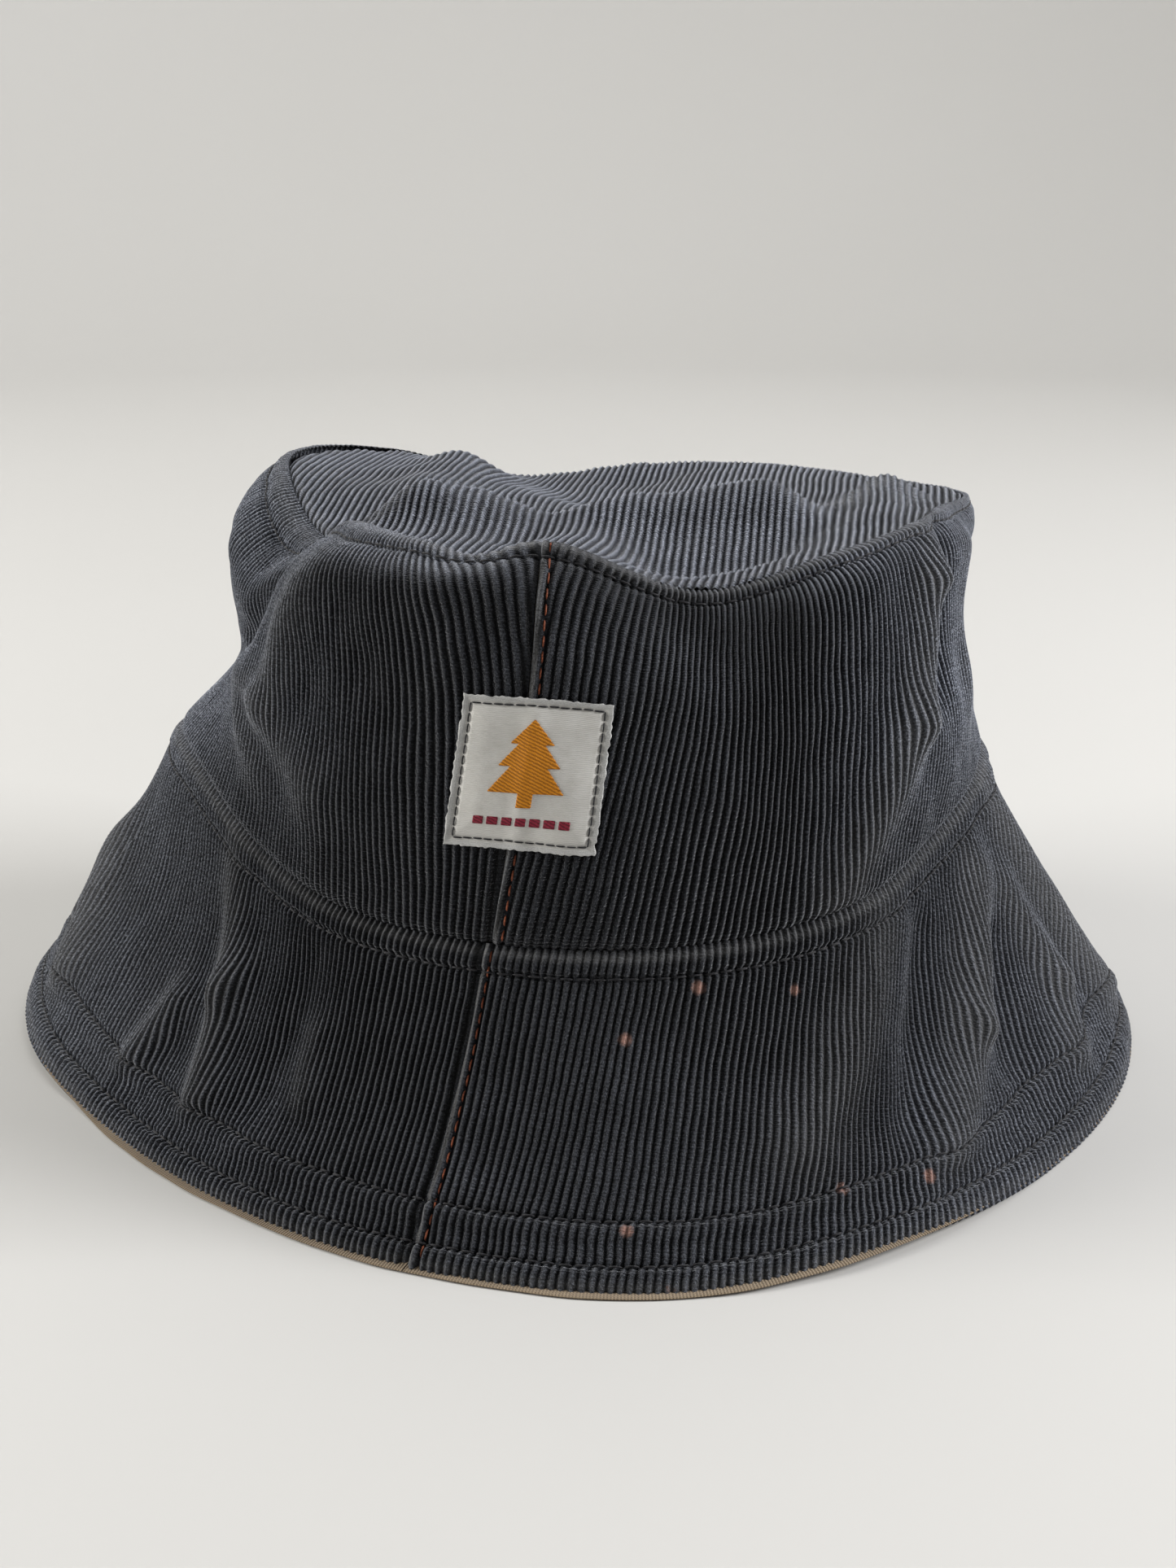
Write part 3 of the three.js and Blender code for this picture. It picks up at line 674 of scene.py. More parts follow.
def roll_shown(station):
    """How much the lining's rolled edge shows: fully in front, and not at the sides."""
    s = from_front(station)
    right = 1 - smooth_step(s, 1.5, 2.6)
    left = 1 - smooth_step(-s, 1.6, 2.7)
    return np.where(s > 0, right, left)


def smooth_normals(stations, share):
    """Normals of the brim at stations by share, blended between the rows of a coarser grid."""
    steps = 60
    smooth = brim_surface(stations[:, None], np.linspace(0, 1, steps)[None, :])
    normals = grid_normals(smooth)
    place = share * (steps - 1)
    lower = np.clip(np.floor(place).astype(int), 0, steps - 2)
    mix = (place - lower)[..., None]
    rows = np.arange(len(stations))[:, None]
    return normals[rows, lower] * (1 - mix) + normals[rows, lower + 1] * mix


def add_brim_lining(side):
    stations = side_stations(side, lambda s: 0.55 + 0 * s, 0.1, BRIM_STATION_MM)
    inner = [(share, -BRIM_LINING_DEPTH) for share in np.linspace(0.08, 0.97, 70)]
    profile = np.array([*LINING_ROLL, *inner])
    station, share = np.meshgrid(stations, profile[:, 0], indexing="ij")
    tucked = np.arange(len(profile)) < ROLL_POINTS
    distance = profile[:, 1] - ROLL_TUCK * tucked * (1 - roll_shown(station))
    distance = distance + 0.12 * wander(station * BRIM_STATION_MM, share * 0, 9, 67) * tucked
    normal = smooth_normals(stations, share)
    points = level_offset(brim_surface(station, share), normal, distance[..., None])
    lengths = np.linalg.norm(np.diff(points, axis=1), axis=-1)
    along = np.concatenate([np.zeros((len(stations), 1)), np.cumsum(lengths, 1)], 1)
    inner_panel(
        f"brim_lining_{side}", "lining_knit", points, station * BRIM_STATION_MM * 1.15, along,
    )


def add_tip_lining():
    x, y, across, along = tip_grid(180, 90, 0.98)
    base = tip_surface(x, y)
    points = base - grid_normals(base) * LINING_DEPTH
    inner_panel(
        "crown_tip_lining", "lining_knit", points, across, along
    )


def add_interfacing(side):
    stations = side_stations(side, lambda s: 2.5 + 0 * s, 1.0, BRIM_STATION_MM)
    station, share = np.meshgrid(stations, np.linspace(0.06, 0.98, 40), indexing="ij")
    base = brim_surface(station, share)
    points = level_offset(base, grid_normals(base), -INTERFACING_DEPTH)
    inner_panel(
        f"brim_interfacing_{side}", "interfacing", points, station * BRIM_STATION_MM,
        share * BRIM_MM,
    )


# ---- Thread ----


def capsules(paths, normals, radius):
    """Points and faces of short round threads. paths is (threads, steps, 3)."""
    count, steps, _ = paths.shape
    sides = 7
    tangents = np.gradient(paths, axis=1)
    tangents /= np.linalg.norm(tangents, axis=-1, keepdims=True)
    side = np.cross(tangents, normals)
    side /= np.linalg.norm(side, axis=-1, keepdims=True)
    up = np.cross(side, tangents)
    ends = np.abs(np.linspace(-1, 1, steps))
    swell = radius * np.sqrt(np.clip(1 - ends**6, 0.02, 1))
    turns = np.linspace(0, 2 * math.pi, sides, endpoint=False)
    round_it = (
        np.cos(turns)[None, None, :, None] * side[:, :, None, :]
        + np.sin(turns)[None, None, :, None] * up[:, :, None, :]
    )
    points = paths[:, :, None, :] + round_it * swell[None, :, None, None]
    i, j = np.meshgrid(np.arange(steps - 1), np.arange(sides), indexing="ij")
    after = (j + 1) % sides
    ring = np.stack([i * sides + j, i * sides + after, (i + 1) * sides + after, (i + 1) * sides + j], -1)
    ring = ring.reshape(-1, 4)
    faces = (ring[None] + (np.arange(count) * steps * sides)[:, None, None]).reshape(-1, 4)
    return points.reshape(-1, 3), faces


def stitches(path, normals, length, gap, radius, lift, seed, closed=False):
    """Separate stitches along a path: each dips into the cloth at its two ends."""
    draws = np.random.default_rng(seed)
    steps = np.linalg.norm(np.diff(path, axis=0), axis=1)
    distance = np.concatenate([[0], np.cumsum(steps)])
    total = distance[-1]
    count = max(1, int(round(total / (length + gap))))
    pitch = total / count if closed else (total + gap) / count
    starts = np.arange(count) * pitch + (gap / 2 if closed else 0)
    reach = pitch - gap
    wobble = draws.normal(0, 0.05, (count, 1))
    share = np.linspace(0, 1, 7)
    places = starts[:, None] + reach * share[None, :] + wobble
    place = np.stack([np.interp(places, distance, path[:, k]) for k in range(3)], -1)
    normal = np.stack([np.interp(places, distance, normals[:, k]) for k in range(3)], -1)
    arch = lift + 0.16 * np.sin(math.pi * share) - 0.22 * (np.abs(2 * share - 1) ** 5)
    sway = draws.normal(0, 0.035, (count, 1)) * np.ones(7)
    side = np.cross(np.gradient(place, axis=1), normal)
    side /= np.linalg.norm(side, axis=-1, keepdims=True)
    place = place + normal * arch[None, :, None] + side * sway[..., None]
    return capsules(place, normal, radius)


def surface_path(surface, station, share):
    """Points and unit normals along a line of places on the band or brim."""
    station, share = np.broadcast_arrays(np.asarray(station, float), np.asarray(share, float))
    step = 0.012
    inside = np.clip(share, step, 1 - step)
    along = surface(station + step, inside) - surface(station - step, inside)
    up = surface(station, inside + step) - surface(station, inside - step)
    normals = np.cross(along, up)
    return surface(station, share), normals / np.linalg.norm(normals, axis=-1, keepdims=True)


# Rows of stitches: length, gap, thread radius, and height over the surface before they arch.
TOPSTITCH = (2.6, 0.5, 0.2, -0.22)
SEAM_STITCH = (2.3, 0.7, 0.19, -0.3)
LABEL_STITCH = (2.0, 0.05, 0.15, -0.02)


def add_topstitching(name, surface, share, seed):
    stations = np.linspace(0, STATIONS, 1601)
    path, normals = surface_path(surface, stations, share)
    points, faces = stitches(path, normals, *TOPSTITCH, seed, closed=True)
    make_piece(name, points, faces, "thread_black")


def add_seam_stitching(name, surface, station, start, end, station_mm, seed):
    shares = np.linspace(start, end, 200)
    path, normals = surface_path(surface, station + LAP_STITCH / station_mm, shares)
    points, faces = stitches(path, normals, *SEAM_STITCH, seed)
    make_piece(name, points, faces, "thread_rust")


def add_stitching():
    add_topstitching("crown_topstitching", band_surface, CROWN_TOPSTITCH, 71)
    add_topstitching("brim_join_topstitching", brim_surface, BRIM_JOIN_TOPSTITCH, 72)
    add_topstitching("brim_edge_topstitching_inner", brim_surface, EDGE_TOPSTITCH_INNER, 73)
    add_topstitching("brim_edge_topstitching_outer", brim_surface, EDGE_TOPSTITCH_OUTER, 74)
    for place, station, seed in (("front", 0, 75), ("back", HALF, 77)):
        add_seam_stitching(
            f"band_{place}_seam_stitching", band_surface, station, 0.01, 0.985,
            BAND_STATION_MM, seed,
        )
        add_seam_stitching(
            f"brim_{place}_seam_stitching", brim_surface, station, 0.05, 0.985,
            BRIM_STATION_MM, seed + 1,
        )


# ---- Label ----

LABEL_SIDE = 28.5
LABEL_CENTRE = (0.065, 0.35)
LABEL_BAND_MM = 93.0
LABEL_STITCH_INSET = 1.5
LABEL_THICKNESS = 0.35


def on_label(across, up, lift):
    """A place on the label: across and up from its centre, and its height above the cloth."""
    station = LABEL_CENTRE[0] + across / BAND_STATION_MM
    points, normals = surface_path(band_surface, station, LABEL_CENTRE[1] + up / LABEL_BAND_MM)
    return points + normals * np.asarray(lift)[..., None], normals


def label_height(across, up):
    """Height of the label's face: pillowed, drawn in at its stitching, raised over the seam."""
    half = LABEL_SIDE / 2
    edge = np.minimum(half - np.abs(across), half - np.abs(up))
    height = 0.62 + 0.35 * smooth_step(edge, 1.6, 6) - 0.3 * bell(edge - LABEL_STITCH_INSET, 0.5)
    height = height + 0.35 * bell(across + 0.2, 1.8)
    height = height + 0.14 * wander(across, up, 7, 81) + 0.3 * bell(edge, 0.5) * (
        0.5 + 0.5 * wander(across, up, 2.5, 82)
    )
    return height


def add_label_patch():
    half = LABEL_SIDE / 2
    steps = np.linspace(-half, half, 121)
    across, up = np.meshgrid(steps, steps, indexing="ij")
    fray = 0.18 * wander(across + up, across - up, 1.2, 83)
    edge = np.maximum(np.abs(across), np.abs(up)) / half
    grow = 1 + fray / half * smooth_step(edge, 0.93, 1)
    height = label_height(across, up)
    top, _ = on_label(across * grow, up * grow, height)
    under, _ = on_label(across * grow, up * grow, height - LABEL_THICKNESS)
    count = across.size
    faces = grid_faces(*across.shape)
    rows = len(steps)
    border = np.concatenate([
        np.arange(rows) * rows,
        (rows - 1) * rows + np.arange(1, rows),
        np.arange(rows - 2, -1, -1) * rows + rows - 1,
        np.arange(rows - 2, 0, -1),
    ])
    after = np.roll(border, -1)
    wall = np.stack([border + count, after + count, after, border], -1)
    faces = np.concatenate([faces, faces[:, ::-1] + count, wall])
    points = np.concatenate([top.reshape(-1, 3), under.reshape(-1, 3)])
    uv = np.tile(np.stack([across, up], -1).reshape(-1, 2), (2, 1))
    piece = make_piece("label_patch", points, faces, "label_cloth", {"cloth": uv})


def add_label_stitching():
    inset = LABEL_SIDE / 2 - LABEL_STITCH_INSET
    corners = [(-inset, -inset), (inset, -inset), (inset, inset), (-inset, inset)]
    all_points, all_faces, count = [], [], 0
    for k in range(4):
        (x0, y0), (x1, y1) = corners[k], corners[(k + 1) % 4]
        share = np.linspace(0, 1, 60)
        across, up = x0 + (x1 - x0) * share, y0 + (y1 - y0) * share
        path, normals = on_label(across, up, label_height(across, up) + 0.14)
        points, faces = stitches(path, normals, *LABEL_STITCH, 85 + k)
        all_points.append(points)
        all_faces.append(faces + count)
        count += len(points)
    points, faces = np.concatenate(all_points), np.concatenate(all_faces)
    make_piece("label_stitching", points, faces, "thread_black")


TREE_TOP = 10.2
TREE_SIDE = ((1.4, -6.2), (1.4, -3.6), (7.2, -3.6), (3.4, 1.2), (5.8, 1.2), (2.4, 5.4), (4.1, 5.4))


def inside_tree(across, up):
    """True inside a plain evergreen tree of three tiers and a trunk."""
    side = [*TREE_SIDE, (0, TREE_TOP)]
    half_width = np.zeros(up.shape)
    for (x0, y0), (x1, y1) in zip(side[:-1], side[1:]):
        if y1 > y0:
            in_span = (up >= y0) & (up < y1)
            half_width = np.where(in_span, x0 + (x1 - x0) * (up - y0) / (y1 - y0), half_width)
    return np.abs(across) < half_width


DASH, DASH_GAP = 2.0, 0.7
DASHES_HALF = 9.1  # from the label's middle to the end of the broken bar
DASHES_LOW, DASHES_HIGH = -9.8, -8.2


def inside_dashes(across, up):
    """True inside a broken bar of short dashes."""
    place = (across + DASHES_HALF) % (DASH + DASH_GAP)
    on_bar = (np.abs(across) < DASHES_HALF) & (up > DASHES_LOW) & (up < DASHES_HIGH)
    return (place < DASH) & on_bar


def woven_motif(name, slot, inside, lowest, highest, height):
    """Raised threads on the label wherever inside() is true, on a fine woven grid."""
    thread = 0.14
    across, up = np.meshgrid(
        np.arange(lowest[0], highest[0], thread),
        np.arange(lowest[1], highest[1], thread),
        indexing="ij",
    )
    shown = inside(across, up)
    kept = shown.copy()
    for axis in (0, 1):
        for step in (-1, 1):
            kept |= np.roll(shown, step, axis)
    lift = np.where(shown, height, -0.08)
    points, _ = on_label(across, up, label_height(across, up) + lift)
    faces = grid_faces(*across.shape)
    faces = faces[kept.ravel()[faces].all(1) & shown.ravel()[faces].any(1)]
    used, faces = np.unique(faces, return_inverse=True)
    faces = faces.reshape(-1, 4)
    uv = np.stack([across, up], -1).reshape(-1, 2)[used]
    make_piece(name, points.reshape(-1, 3)[used], faces, slot, {"cloth": uv})


def add_label():
    add_label_patch()
    add_label_stitching()
    woven_motif("label_motif", "motif_thread", inside_tree, (-8, -7), (8, 11), 0.22)
    woven_motif(
        "label_accent_bar", "accent_thread", inside_dashes, (-9.6, -10.4), (9.6, -7.6), 0.16
    )


# ---- Materials ----


class Nodes:
    """Short calls for building one material's node tree."""

    def __init__(self, name):
        self.material = bpy.data.materials.new(name)
        self.material.use_nodes = True
        self.tree = self.material.node_tree
        self.shader = self.tree.nodes["Principled BSDF"]

    def link(self, source, target):
        self.tree.links.new(source, target)

    def set(self, socket, value):
        if isinstance(value, bpy.types.NodeSocket):
            self.link(value, socket)
        else:
            socket.default_value = value

    def math(self, operation, first, second=0.0, third=0.0, clamp=False):
        node = self.tree.nodes.new("ShaderNodeMath")
        node.operation = operation
        node.use_clamp = clamp
        for socket, value in zip(node.inputs, (first, second, third)):
            self.set(socket, value)
        return node.outputs[0]

    def mix(self, share, first, second, blend="MIX"):
        node = self.tree.nodes.new("ShaderNodeMix")
        node.data_type = "RGBA"
        node.blend_type = blend
        self.set(node.inputs[0], share)
        for socket, value in ((node.inputs[6], first), (node.inputs[7], second)):
            if isinstance(value, tuple):
                value = (*value, 1.0)
            self.set(socket, value)
        return node.outputs[2]

    def remap(self, value, low, high, new_low, new_high):
        node = self.tree.nodes.new("ShaderNodeMapRange")
        for socket, given in zip(node.inputs, (value, low, high, new_low, new_high)):
            self.set(socket, given)
        return node.outputs[0]

    def noise(self, vector, scale, detail=3.0, roughness=0.55):
        node = self.tree.nodes.new("ShaderNodeTexNoise")
        self.link(vector, node.inputs["Vector"])
        node.inputs["Scale"].default_value = scale
        node.inputs["Detail"].default_value = detail
        node.inputs["Roughness"].default_value = roughness
        return node.outputs["Fac"]

    def scaled(self, vector, scale):
        node = self.tree.nodes.new("ShaderNodeVectorMath")
        node.operation = "MULTIPLY"
        self.link(vector, node.inputs[0])
        node.inputs[1].default_value = scale
        return node.outputs[0]

    def cloth(self):
        """Places on the cloth: the vector, across and along, in millimetres."""
        node = self.tree.nodes.new("ShaderNodeUVMap")
        node.uv_map = "cloth"
        split = self.tree.nodes.new("ShaderNodeSeparateXYZ")
        self.link(node.outputs[0], split.inputs[0])
        return node.outputs[0], split.outputs[0], split.outputs[1]

    def object_place(self):
        return self.tree.nodes.new("ShaderNodeTexCoord").outputs["Object"]

    def attribute(self, name):
        node = self.tree.nodes.new("ShaderNodeAttribute")
        node.attribute_name = name
        return node.outputs["Fac"]

    def wave(self, place, length):
        """A cosine along a place, from 0 to 1."""
        turned = self.math("MULTIPLY", place, 2 * math.pi / length)
        return self.math("MULTIPLY_ADD", self.math("COSINE", turned), 0.5, 0.5)

    def bump(self, height, distance_mm, strength=1.0):
        node = self.tree.nodes.new("ShaderNodeBump")
        node.inputs["Strength"].default_value = strength
        node.inputs["Distance"].default_value = distance_mm * MM
        self.link(height, node.inputs["Height"])
        self.link(node.outputs[0], self.shader.inputs["Normal"])

    def finish(self, colour, roughness, sheen=0.0, sheen_roughness=0.5, sheen_tint=(1, 1, 1)):
        self.set(self.shader.inputs["Base Color"], colour)
        self.set(self.shader.inputs["Roughness"], roughness)
        self.shader.inputs["Sheen Weight"].default_value = sheen
        self.shader.inputs["Sheen Roughness"].default_value = sheen_roughness
        self.shader.inputs["Sheen Tint"].default_value = (*sheen_tint, 1.0)
        self.shader.inputs["Specular IOR Level"].default_value = 0.2
        return self.material


# The corduroy's colours. The near-black groove colour is painted shade in the grooves between the ribs.
GROOVE_SHADE_COLOUR = (0.0006, 0.0007, 0.0011)
CREST_COLOUR = (0.041, 0.0445, 0.053)
DARK_PILE_COLOUR = (0.005, 0.0054, 0.0072)
SPECKLE_COLOUR = (0.085, 0.09, 0.103)
RUBBED_COLOUR = (0.22, 0.22, 0.22)
BLEACHED_COLOUR = (0.34, 0.19, 0.15)
FADE_AND_PAINTED_LIGHT_TONES = (0.8, 7.0)  # what multiplies the colour where "fade" is 0, and where it is 1 or more: painted light that makes the crown's top and sides paler, with some fading of the cloth

# Small spots bleached into the brim: x, y, z and radius, in millimetres.
BLEACH_SPOTS = (
    (24, -93, 45, 1.0), (43, -87, 42, 0.8), (10, -99, 37, 0.9), (10, -121, 9, 0.9),
    (51, -107, 10, 0.9), (69, -98, 8, 1.2), (18, -129, 1.5, 0.8),
)


def with_bleach_spots(n, colour, world, tufts):
    """The colour with small round spots in it, whose edges follow the tufts."""
    for x, y, z, radius in BLEACH_SPOTS:
        away = n.tree.nodes.new("ShaderNodeVectorMath")
        away.operation = "DISTANCE"
        n.link(world, away.inputs[0])
        away.inputs[1].default_value = (x * MM, y * MM, z * MM)
        ragged = n.math("MULTIPLY_ADD", tufts, 1.2 * MM, away.outputs["Value"])
        spot = n.remap(ragged, (radius + 0.3) * MM, (radius + 1.2) * MM, 0.75, 0.0)
        colour = n.mix(spot, colour, BLEACHED_COLOUR)
    return colour


def corduroy_material():
    n = Nodes("corduroy")
    place, across, along = n.cloth()
    world = n.object_place()
    ragged = n.noise(place, 1.9, 2.0, 0.6)
    crest = n.wave(n.math("MULTIPLY_ADD", ragged, 1.1, n.math("SUBTRACT", across, 0.55)), RIB_PITCH)
    tufts = n.noise(n.scaled(place, (1.0, 0.8, 1)), 2.3, 3.0, 0.75)
    pile = n.noise(n.scaled(place, (1.0, 0.7, 1)), 3.4, 3.0, 0.7)
    uneven = n.noise(n.scaled(place, (0.35, 1.0, 1)), 1.1, 2.0, 0.6)
    ladder = n.wave(n.math("MULTIPLY_ADD", uneven, 1.6, along), 0.72)
    paleness = n.noise(world, 38, 3.0, 0.6)
    blotches = n.noise(world, 160, 3.0, 0.6)
    wear = n.attribute("wear")
    # painted light and shade across each rib: near black in the groove, the crest colour on the crests
    lit = n.math("POWER", crest, 2.0)
    lit = n.math("MULTIPLY", lit, n.remap(tufts, 0.32, 0.66, 0.25, 1.6))
    lit = n.math("MULTIPLY", lit, n.remap(ladder, 0, 1, 0.5, 1.15), clamp=True)
    colour = n.mix(lit, GROOVE_SHADE_COLOUR, CREST_COLOUR)
    colour = n.mix(n.remap(pile, 0.42, 0.66, 0.0, 0.8), colour, DARK_PILE_COLOUR)
    speckled = n.math("MULTIPLY", n.remap(pile, 0.46, 0.32, 0.0, 0.6), crest, clamp=True)
    colour = n.mix(speckled, colour, SPECKLE_COLOUR)
    tone = n.remap(paleness, 0.3, 0.7, 0.8, 1.2)
    tone = n.math("MULTIPLY", tone, n.remap(blotches, 0.3, 0.7, 0.88, 1.12))
    # painted light: the fade attribute draws the crown's top and sides paler, for the light that falls
    # there, with some fading of the cloth
    tone = n.math("MULTIPLY", tone, n.remap(n.attribute("fade"), 0, 1, *FADE_AND_PAINTED_LIGHT_TONES))
    toned = n.tree.nodes.new("ShaderNodeVectorMath")
    toned.operation = "SCALE"
    n.link(colour, toned.inputs[0])
    n.link(tone, toned.inputs["Scale"])
    colour = toned.outputs[0]
    rubbed = n.math("MULTIPLY", wear, n.remap(tufts, 0.3, 0.6, 0.2, 1.0), clamp=True)
    colour = n.mix(rubbed, colour, RUBBED_COLOUR)
    colour = with_bleach_spots(n, colour, world, tufts)
    height = n.math("MULTIPLY_ADD", tufts, 0.5, n.math("MULTIPLY", pile, 0.5))
    height = n.math("MULTIPLY_ADD", ladder, 0.25, height)
    height = n.math("MULTIPLY_ADD", crest, 0.6, height)
    n.bump(height, 0.45, 1.0)
    return n.finish(colour, 0.95, 0.5, 0.3, (0.85, 0.87, 0.92))


def knit_material():
    n = Nodes("lining_knit")
    place, across, along = n.cloth()
    world = n.object_place()
    rib = n.wave(across, 0.62)
    loop = n.wave(n.math("MULTIPLY_ADD", rib, 0.3, along), 0.55)
    fuzz = n.noise(place, 4.0, 3.0, 0.65)
    paleness = n.noise(world, 45, 3.0, 0.6)
    height = n.math("ADD", n.math("MULTIPLY", rib, 0.8), n.math("MULTIPLY", loop, 0.35))
    height = n.math("MULTIPLY_ADD", fuzz, 0.4, height)
    shade = n.math("MULTIPLY", n.remap(height, 0.2, 1.3, 0.35, 1.0), n.remap(paleness, 0.3, 0.7, 0.9, 1.1))
    colour = n.mix(shade, (0.045, 0.032, 0.020), (0.27, 0.205, 0.135))
    n.bump(height, 0.22, 0.9)
    return n.finish(colour, 0.92, 0.3, 0.5, (0.95, 0.85, 0.75))


def interfacing_material():
    n = Nodes("interfacing")
    place, _, _ = n.cloth()
    fibres = n.noise(n.scaled(place, (0.6, 2.2, 1)), 2.0, 4.0, 0.7)
    colour = n.mix(fibres, (0.55, 0.53, 0.49), (0.80, 0.79, 0.75))
    n.bump(fibres, 0.15, 0.8)
    return n.finish(colour, 0.9)


def thread_material(name, dark, light, sheen):
    n = Nodes(name)
    world = n.object_place()
    strands = n.noise(world, 2600, 2.0, 0.6)
    colour = n.mix(n.remap(strands, 0.35, 0.65, 0, 1), dark, light)
    n.bump(strands, 0.06, 0.7)
    return n.finish(colour, 0.55, sheen, 0.4)


def label_material():
    n = Nodes("label_cloth")
    place, across, up = n.cloth()
    weft = n.wave(up, 0.26)
    warp = n.wave(n.math("MULTIPLY_ADD", up, 1.7, across), 0.75)
    uneven = n.noise(place, 0.35, 3.0, 0.6)
    fuzz = n.noise(place, 5.0, 2.0, 0.6)
    edge = n.math("MAXIMUM", n.math("ABSOLUTE", across), n.math("ABSOLUTE", up))
    border = n.remap(edge, LABEL_SIDE / 2 - 1.25, LABEL_SIDE / 2 - 0.75, 0.0, 1.0)
    soiled = n.remap(uneven, 0.35, 0.7, 0.0, 0.35)
    colour = n.mix(weft, (0.54, 0.53, 0.50), (0.69, 0.68, 0.65))
    colour = n.mix(n.math("MULTIPLY", warp, 0.25), colour, (0.68, 0.67, 0.65))
    colour = n.mix(soiled, colour, (0.46, 0.44, 0.40))
    frayed = n.mix(fuzz, (0.24, 0.24, 0.24), (0.72, 0.72, 0.70))
    colour = n.mix(border, colour, frayed)
    height = n.math("MULTIPLY_ADD", fuzz, n.remap(border, 0, 1, 0.3, 2.0), weft)
    n.bump(height, 0.07, 0.8)
    return n.finish(colour, 0.62, 0.15, 0.4)


def satin_material(name, dark, light):
    """Raised threads of a woven motif, in slanting rows."""
    n = Nodes(name)
    place, across, up = n.cloth()
    fuzz = n.noise(place, 1.6, 2.0, 0.6)
    slant = n.math("MULTIPLY_ADD", across, 0.45, up)
    waved = n.math("MULTIPLY_ADD", fuzz, 0.45, slant)
    rows = n.wave(waved, 0.62)
    floats = n.wave(n.math("MULTIPLY_ADD", up, -0.3, across), 0.3)
    height = n.math("MULTIPLY_ADD", floats, 0.35, rows)
    colour = n.mix(n.remap(height, 0.1, 1.1, 0, 1), dark, light)
    n.bump(height, 0.10, 0.9)
    return n.finish(colour, 0.5, 0.2, 0.35)


MATERIALS = {
    "corduroy": corduroy_material(),
    "lining_knit": knit_material(),
    "interfacing": interfacing_material(),
    "thread_black": thread_material("thread_black", (0.004, 0.004, 0.005), (0.022, 0.022, 0.026), 0.2),
    "thread_rust": thread_material("thread_rust", (0.11, 0.028, 0.014), (0.34, 0.10, 0.045), 0.2),
    "label_cloth": label_material(),
    "motif_thread": satin_material("motif_thread", (0.26, 0.085, 0.003), (0.66, 0.25, 0.010)),
    "accent_thread": satin_material("accent_thread", (0.09, 0.006, 0.014), (0.26, 0.018, 0.040)),
}


# ---- Stage ----


def stage_material():
    """Pale card, with painted shade on its side in front, where the photographer stands."""
    n = Nodes("stage")
    world = n.object_place()
    split = n.tree.nodes.new("ShaderNodeSeparateXYZ")
    n.link(world, split.inputs[0])
    behind_camera = n.remap(split.outputs[1], -1.0, -1.6, 0.0, 1.0)
    cloudy = n.noise(world, 1.5, 2.0)
    colour = n.mix(cloudy, (0.53, 0.523, 0.507), (0.56, 0.554, 0.54))
    # painted shade: the card behind the camera is drawn darker, for the little light that reaches it
    # there
    colour = n.mix(behind_camera, colour, (0.27, 0.27, 0.27))
    return n.finish(colour, 0.8)


STAGE_FLAT, STAGE_BEND, STAGE_TOP = 1.3, 0.9, 2.6  # metres: flat radius, bend radius, wall height
STAGE_DROP = 0.0002  # metres from the hat's base plane down to the floor


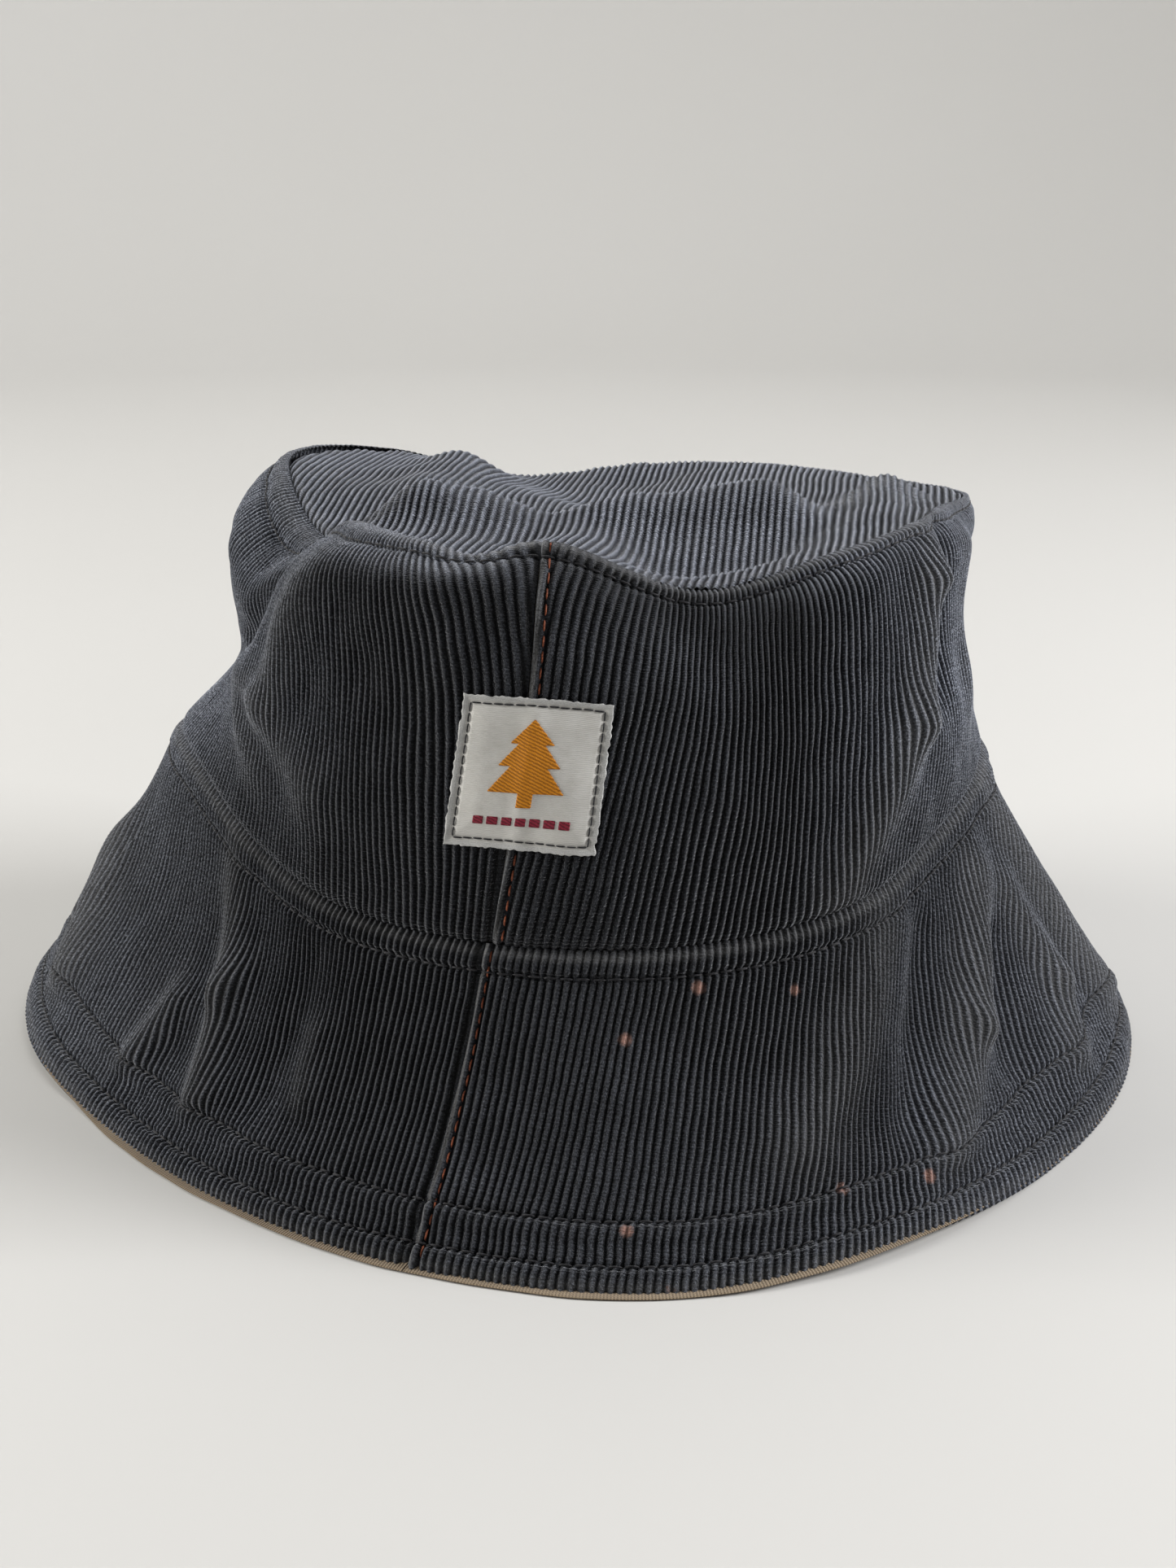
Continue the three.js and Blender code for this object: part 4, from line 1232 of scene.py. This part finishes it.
def add_stage():
    """A round pale floor that curves up into a wall on every side."""
    profile = [(0.0, 0.0), (STAGE_FLAT, 0.0)]
    for degrees in range(6, 91, 6):
        turn = math.radians(degrees)
        out, up = STAGE_BEND * math.sin(turn), STAGE_BEND * (1 - math.cos(turn))
        profile.append((STAGE_FLAT + out, up))
    profile.append((STAGE_FLAT + STAGE_BEND, STAGE_TOP))
    profile = np.array(profile)
    turns = np.linspace(0, 2 * math.pi, 96, endpoint=False)
    x = profile[None, :, 0] * np.cos(turns)[:, None]
    y = profile[None, :, 0] * np.sin(turns)[:, None]
    z = np.broadcast_to(profile[None, :, 1], x.shape)
    mesh = bpy.data.meshes.new("stage")
    mesh.from_pydata(
        np.stack([x, y, z], -1).reshape(-1, 3).tolist(), [],
        grid_faces(96, len(profile), wrapped=True).tolist(),
    )
    mesh.shade_smooth()
    stage = bpy.data.objects.new("stage", mesh)
    stage.location.z = -STAGE_DROP
    mesh.materials.append(stage_material())
    bpy.context.scene.collection.objects.link(stage)


def add_light(name, place, target, size, power, colour=(1, 1, 1)):
    data = bpy.data.lights.new(name, "AREA")
    data.shape = "RECTANGLE"
    data.size, data.size_y = size
    data.energy = power
    data.color = colour
    light = bpy.data.objects.new(name, data)
    light.location = place
    aim = light.location - type(light.location)(target)
    light.rotation_euler = aim.to_track_quat("Z", "Y").to_euler()
    bpy.context.scene.collection.objects.link(light)


def add_lights():
    add_light("overhead", (0.0, 0.8, 1.4), (0, 0.05, 0.05), (1.6, 1.2), 9, (1.0, 0.99, 0.97))
    add_light("left_side", (-1.2, -0.05, 0.5), (0, 0, 0.09), (0.7, 0.7), 20, (1.0, 0.985, 0.95))
    add_light("right_side", (1.15, -0.12, 0.6), (0, 0, 0.09), (0.6, 0.6), 24, (0.99, 0.99, 1.0))
    add_light("backdrop", (-0.5, 1.0, 1.5), (-0.7, 2.3, 0.8), (2.0, 0.6), 13, (1.0, 0.99, 0.97))
    world = bpy.data.worlds.new("world")
    bpy.context.scene.world = world
    world.use_nodes = True
    backdrop = world.node_tree.nodes["Background"]
    backdrop.inputs["Color"].default_value = (0.95, 0.96, 0.97, 1)
    backdrop.inputs["Strength"].default_value = 0.2
    bpy.context.scene.view_settings.view_transform = "Standard"


CAMERA_PLACE = (0.003, -0.475, 0.206)  # metres
CAMERA_TILT = 17.5  # degrees down from level
CAMERA_LENS = 49.92
SENSOR = 36


def add_camera():
    data = bpy.data.cameras.new("camera")
    data.sensor_width = SENSOR
    data.lens = CAMERA_LENS
    camera = bpy.data.objects.new("camera", data)
    camera.location = CAMERA_PLACE
    camera.rotation_euler = (math.radians(90 - CAMERA_TILT), 0, 0)
    bpy.context.scene.collection.objects.link(camera)
    bpy.context.scene.camera = camera


add_camera()
add_lights()
add_stage()
add_tip()
add_tip_lining()
for side in ("right", "left"):
    add_side_band(side)
    add_band_lining(side)
    add_brim(side)
    add_brim_lining(side)
    add_interfacing(side)
add_stitching()
add_label()
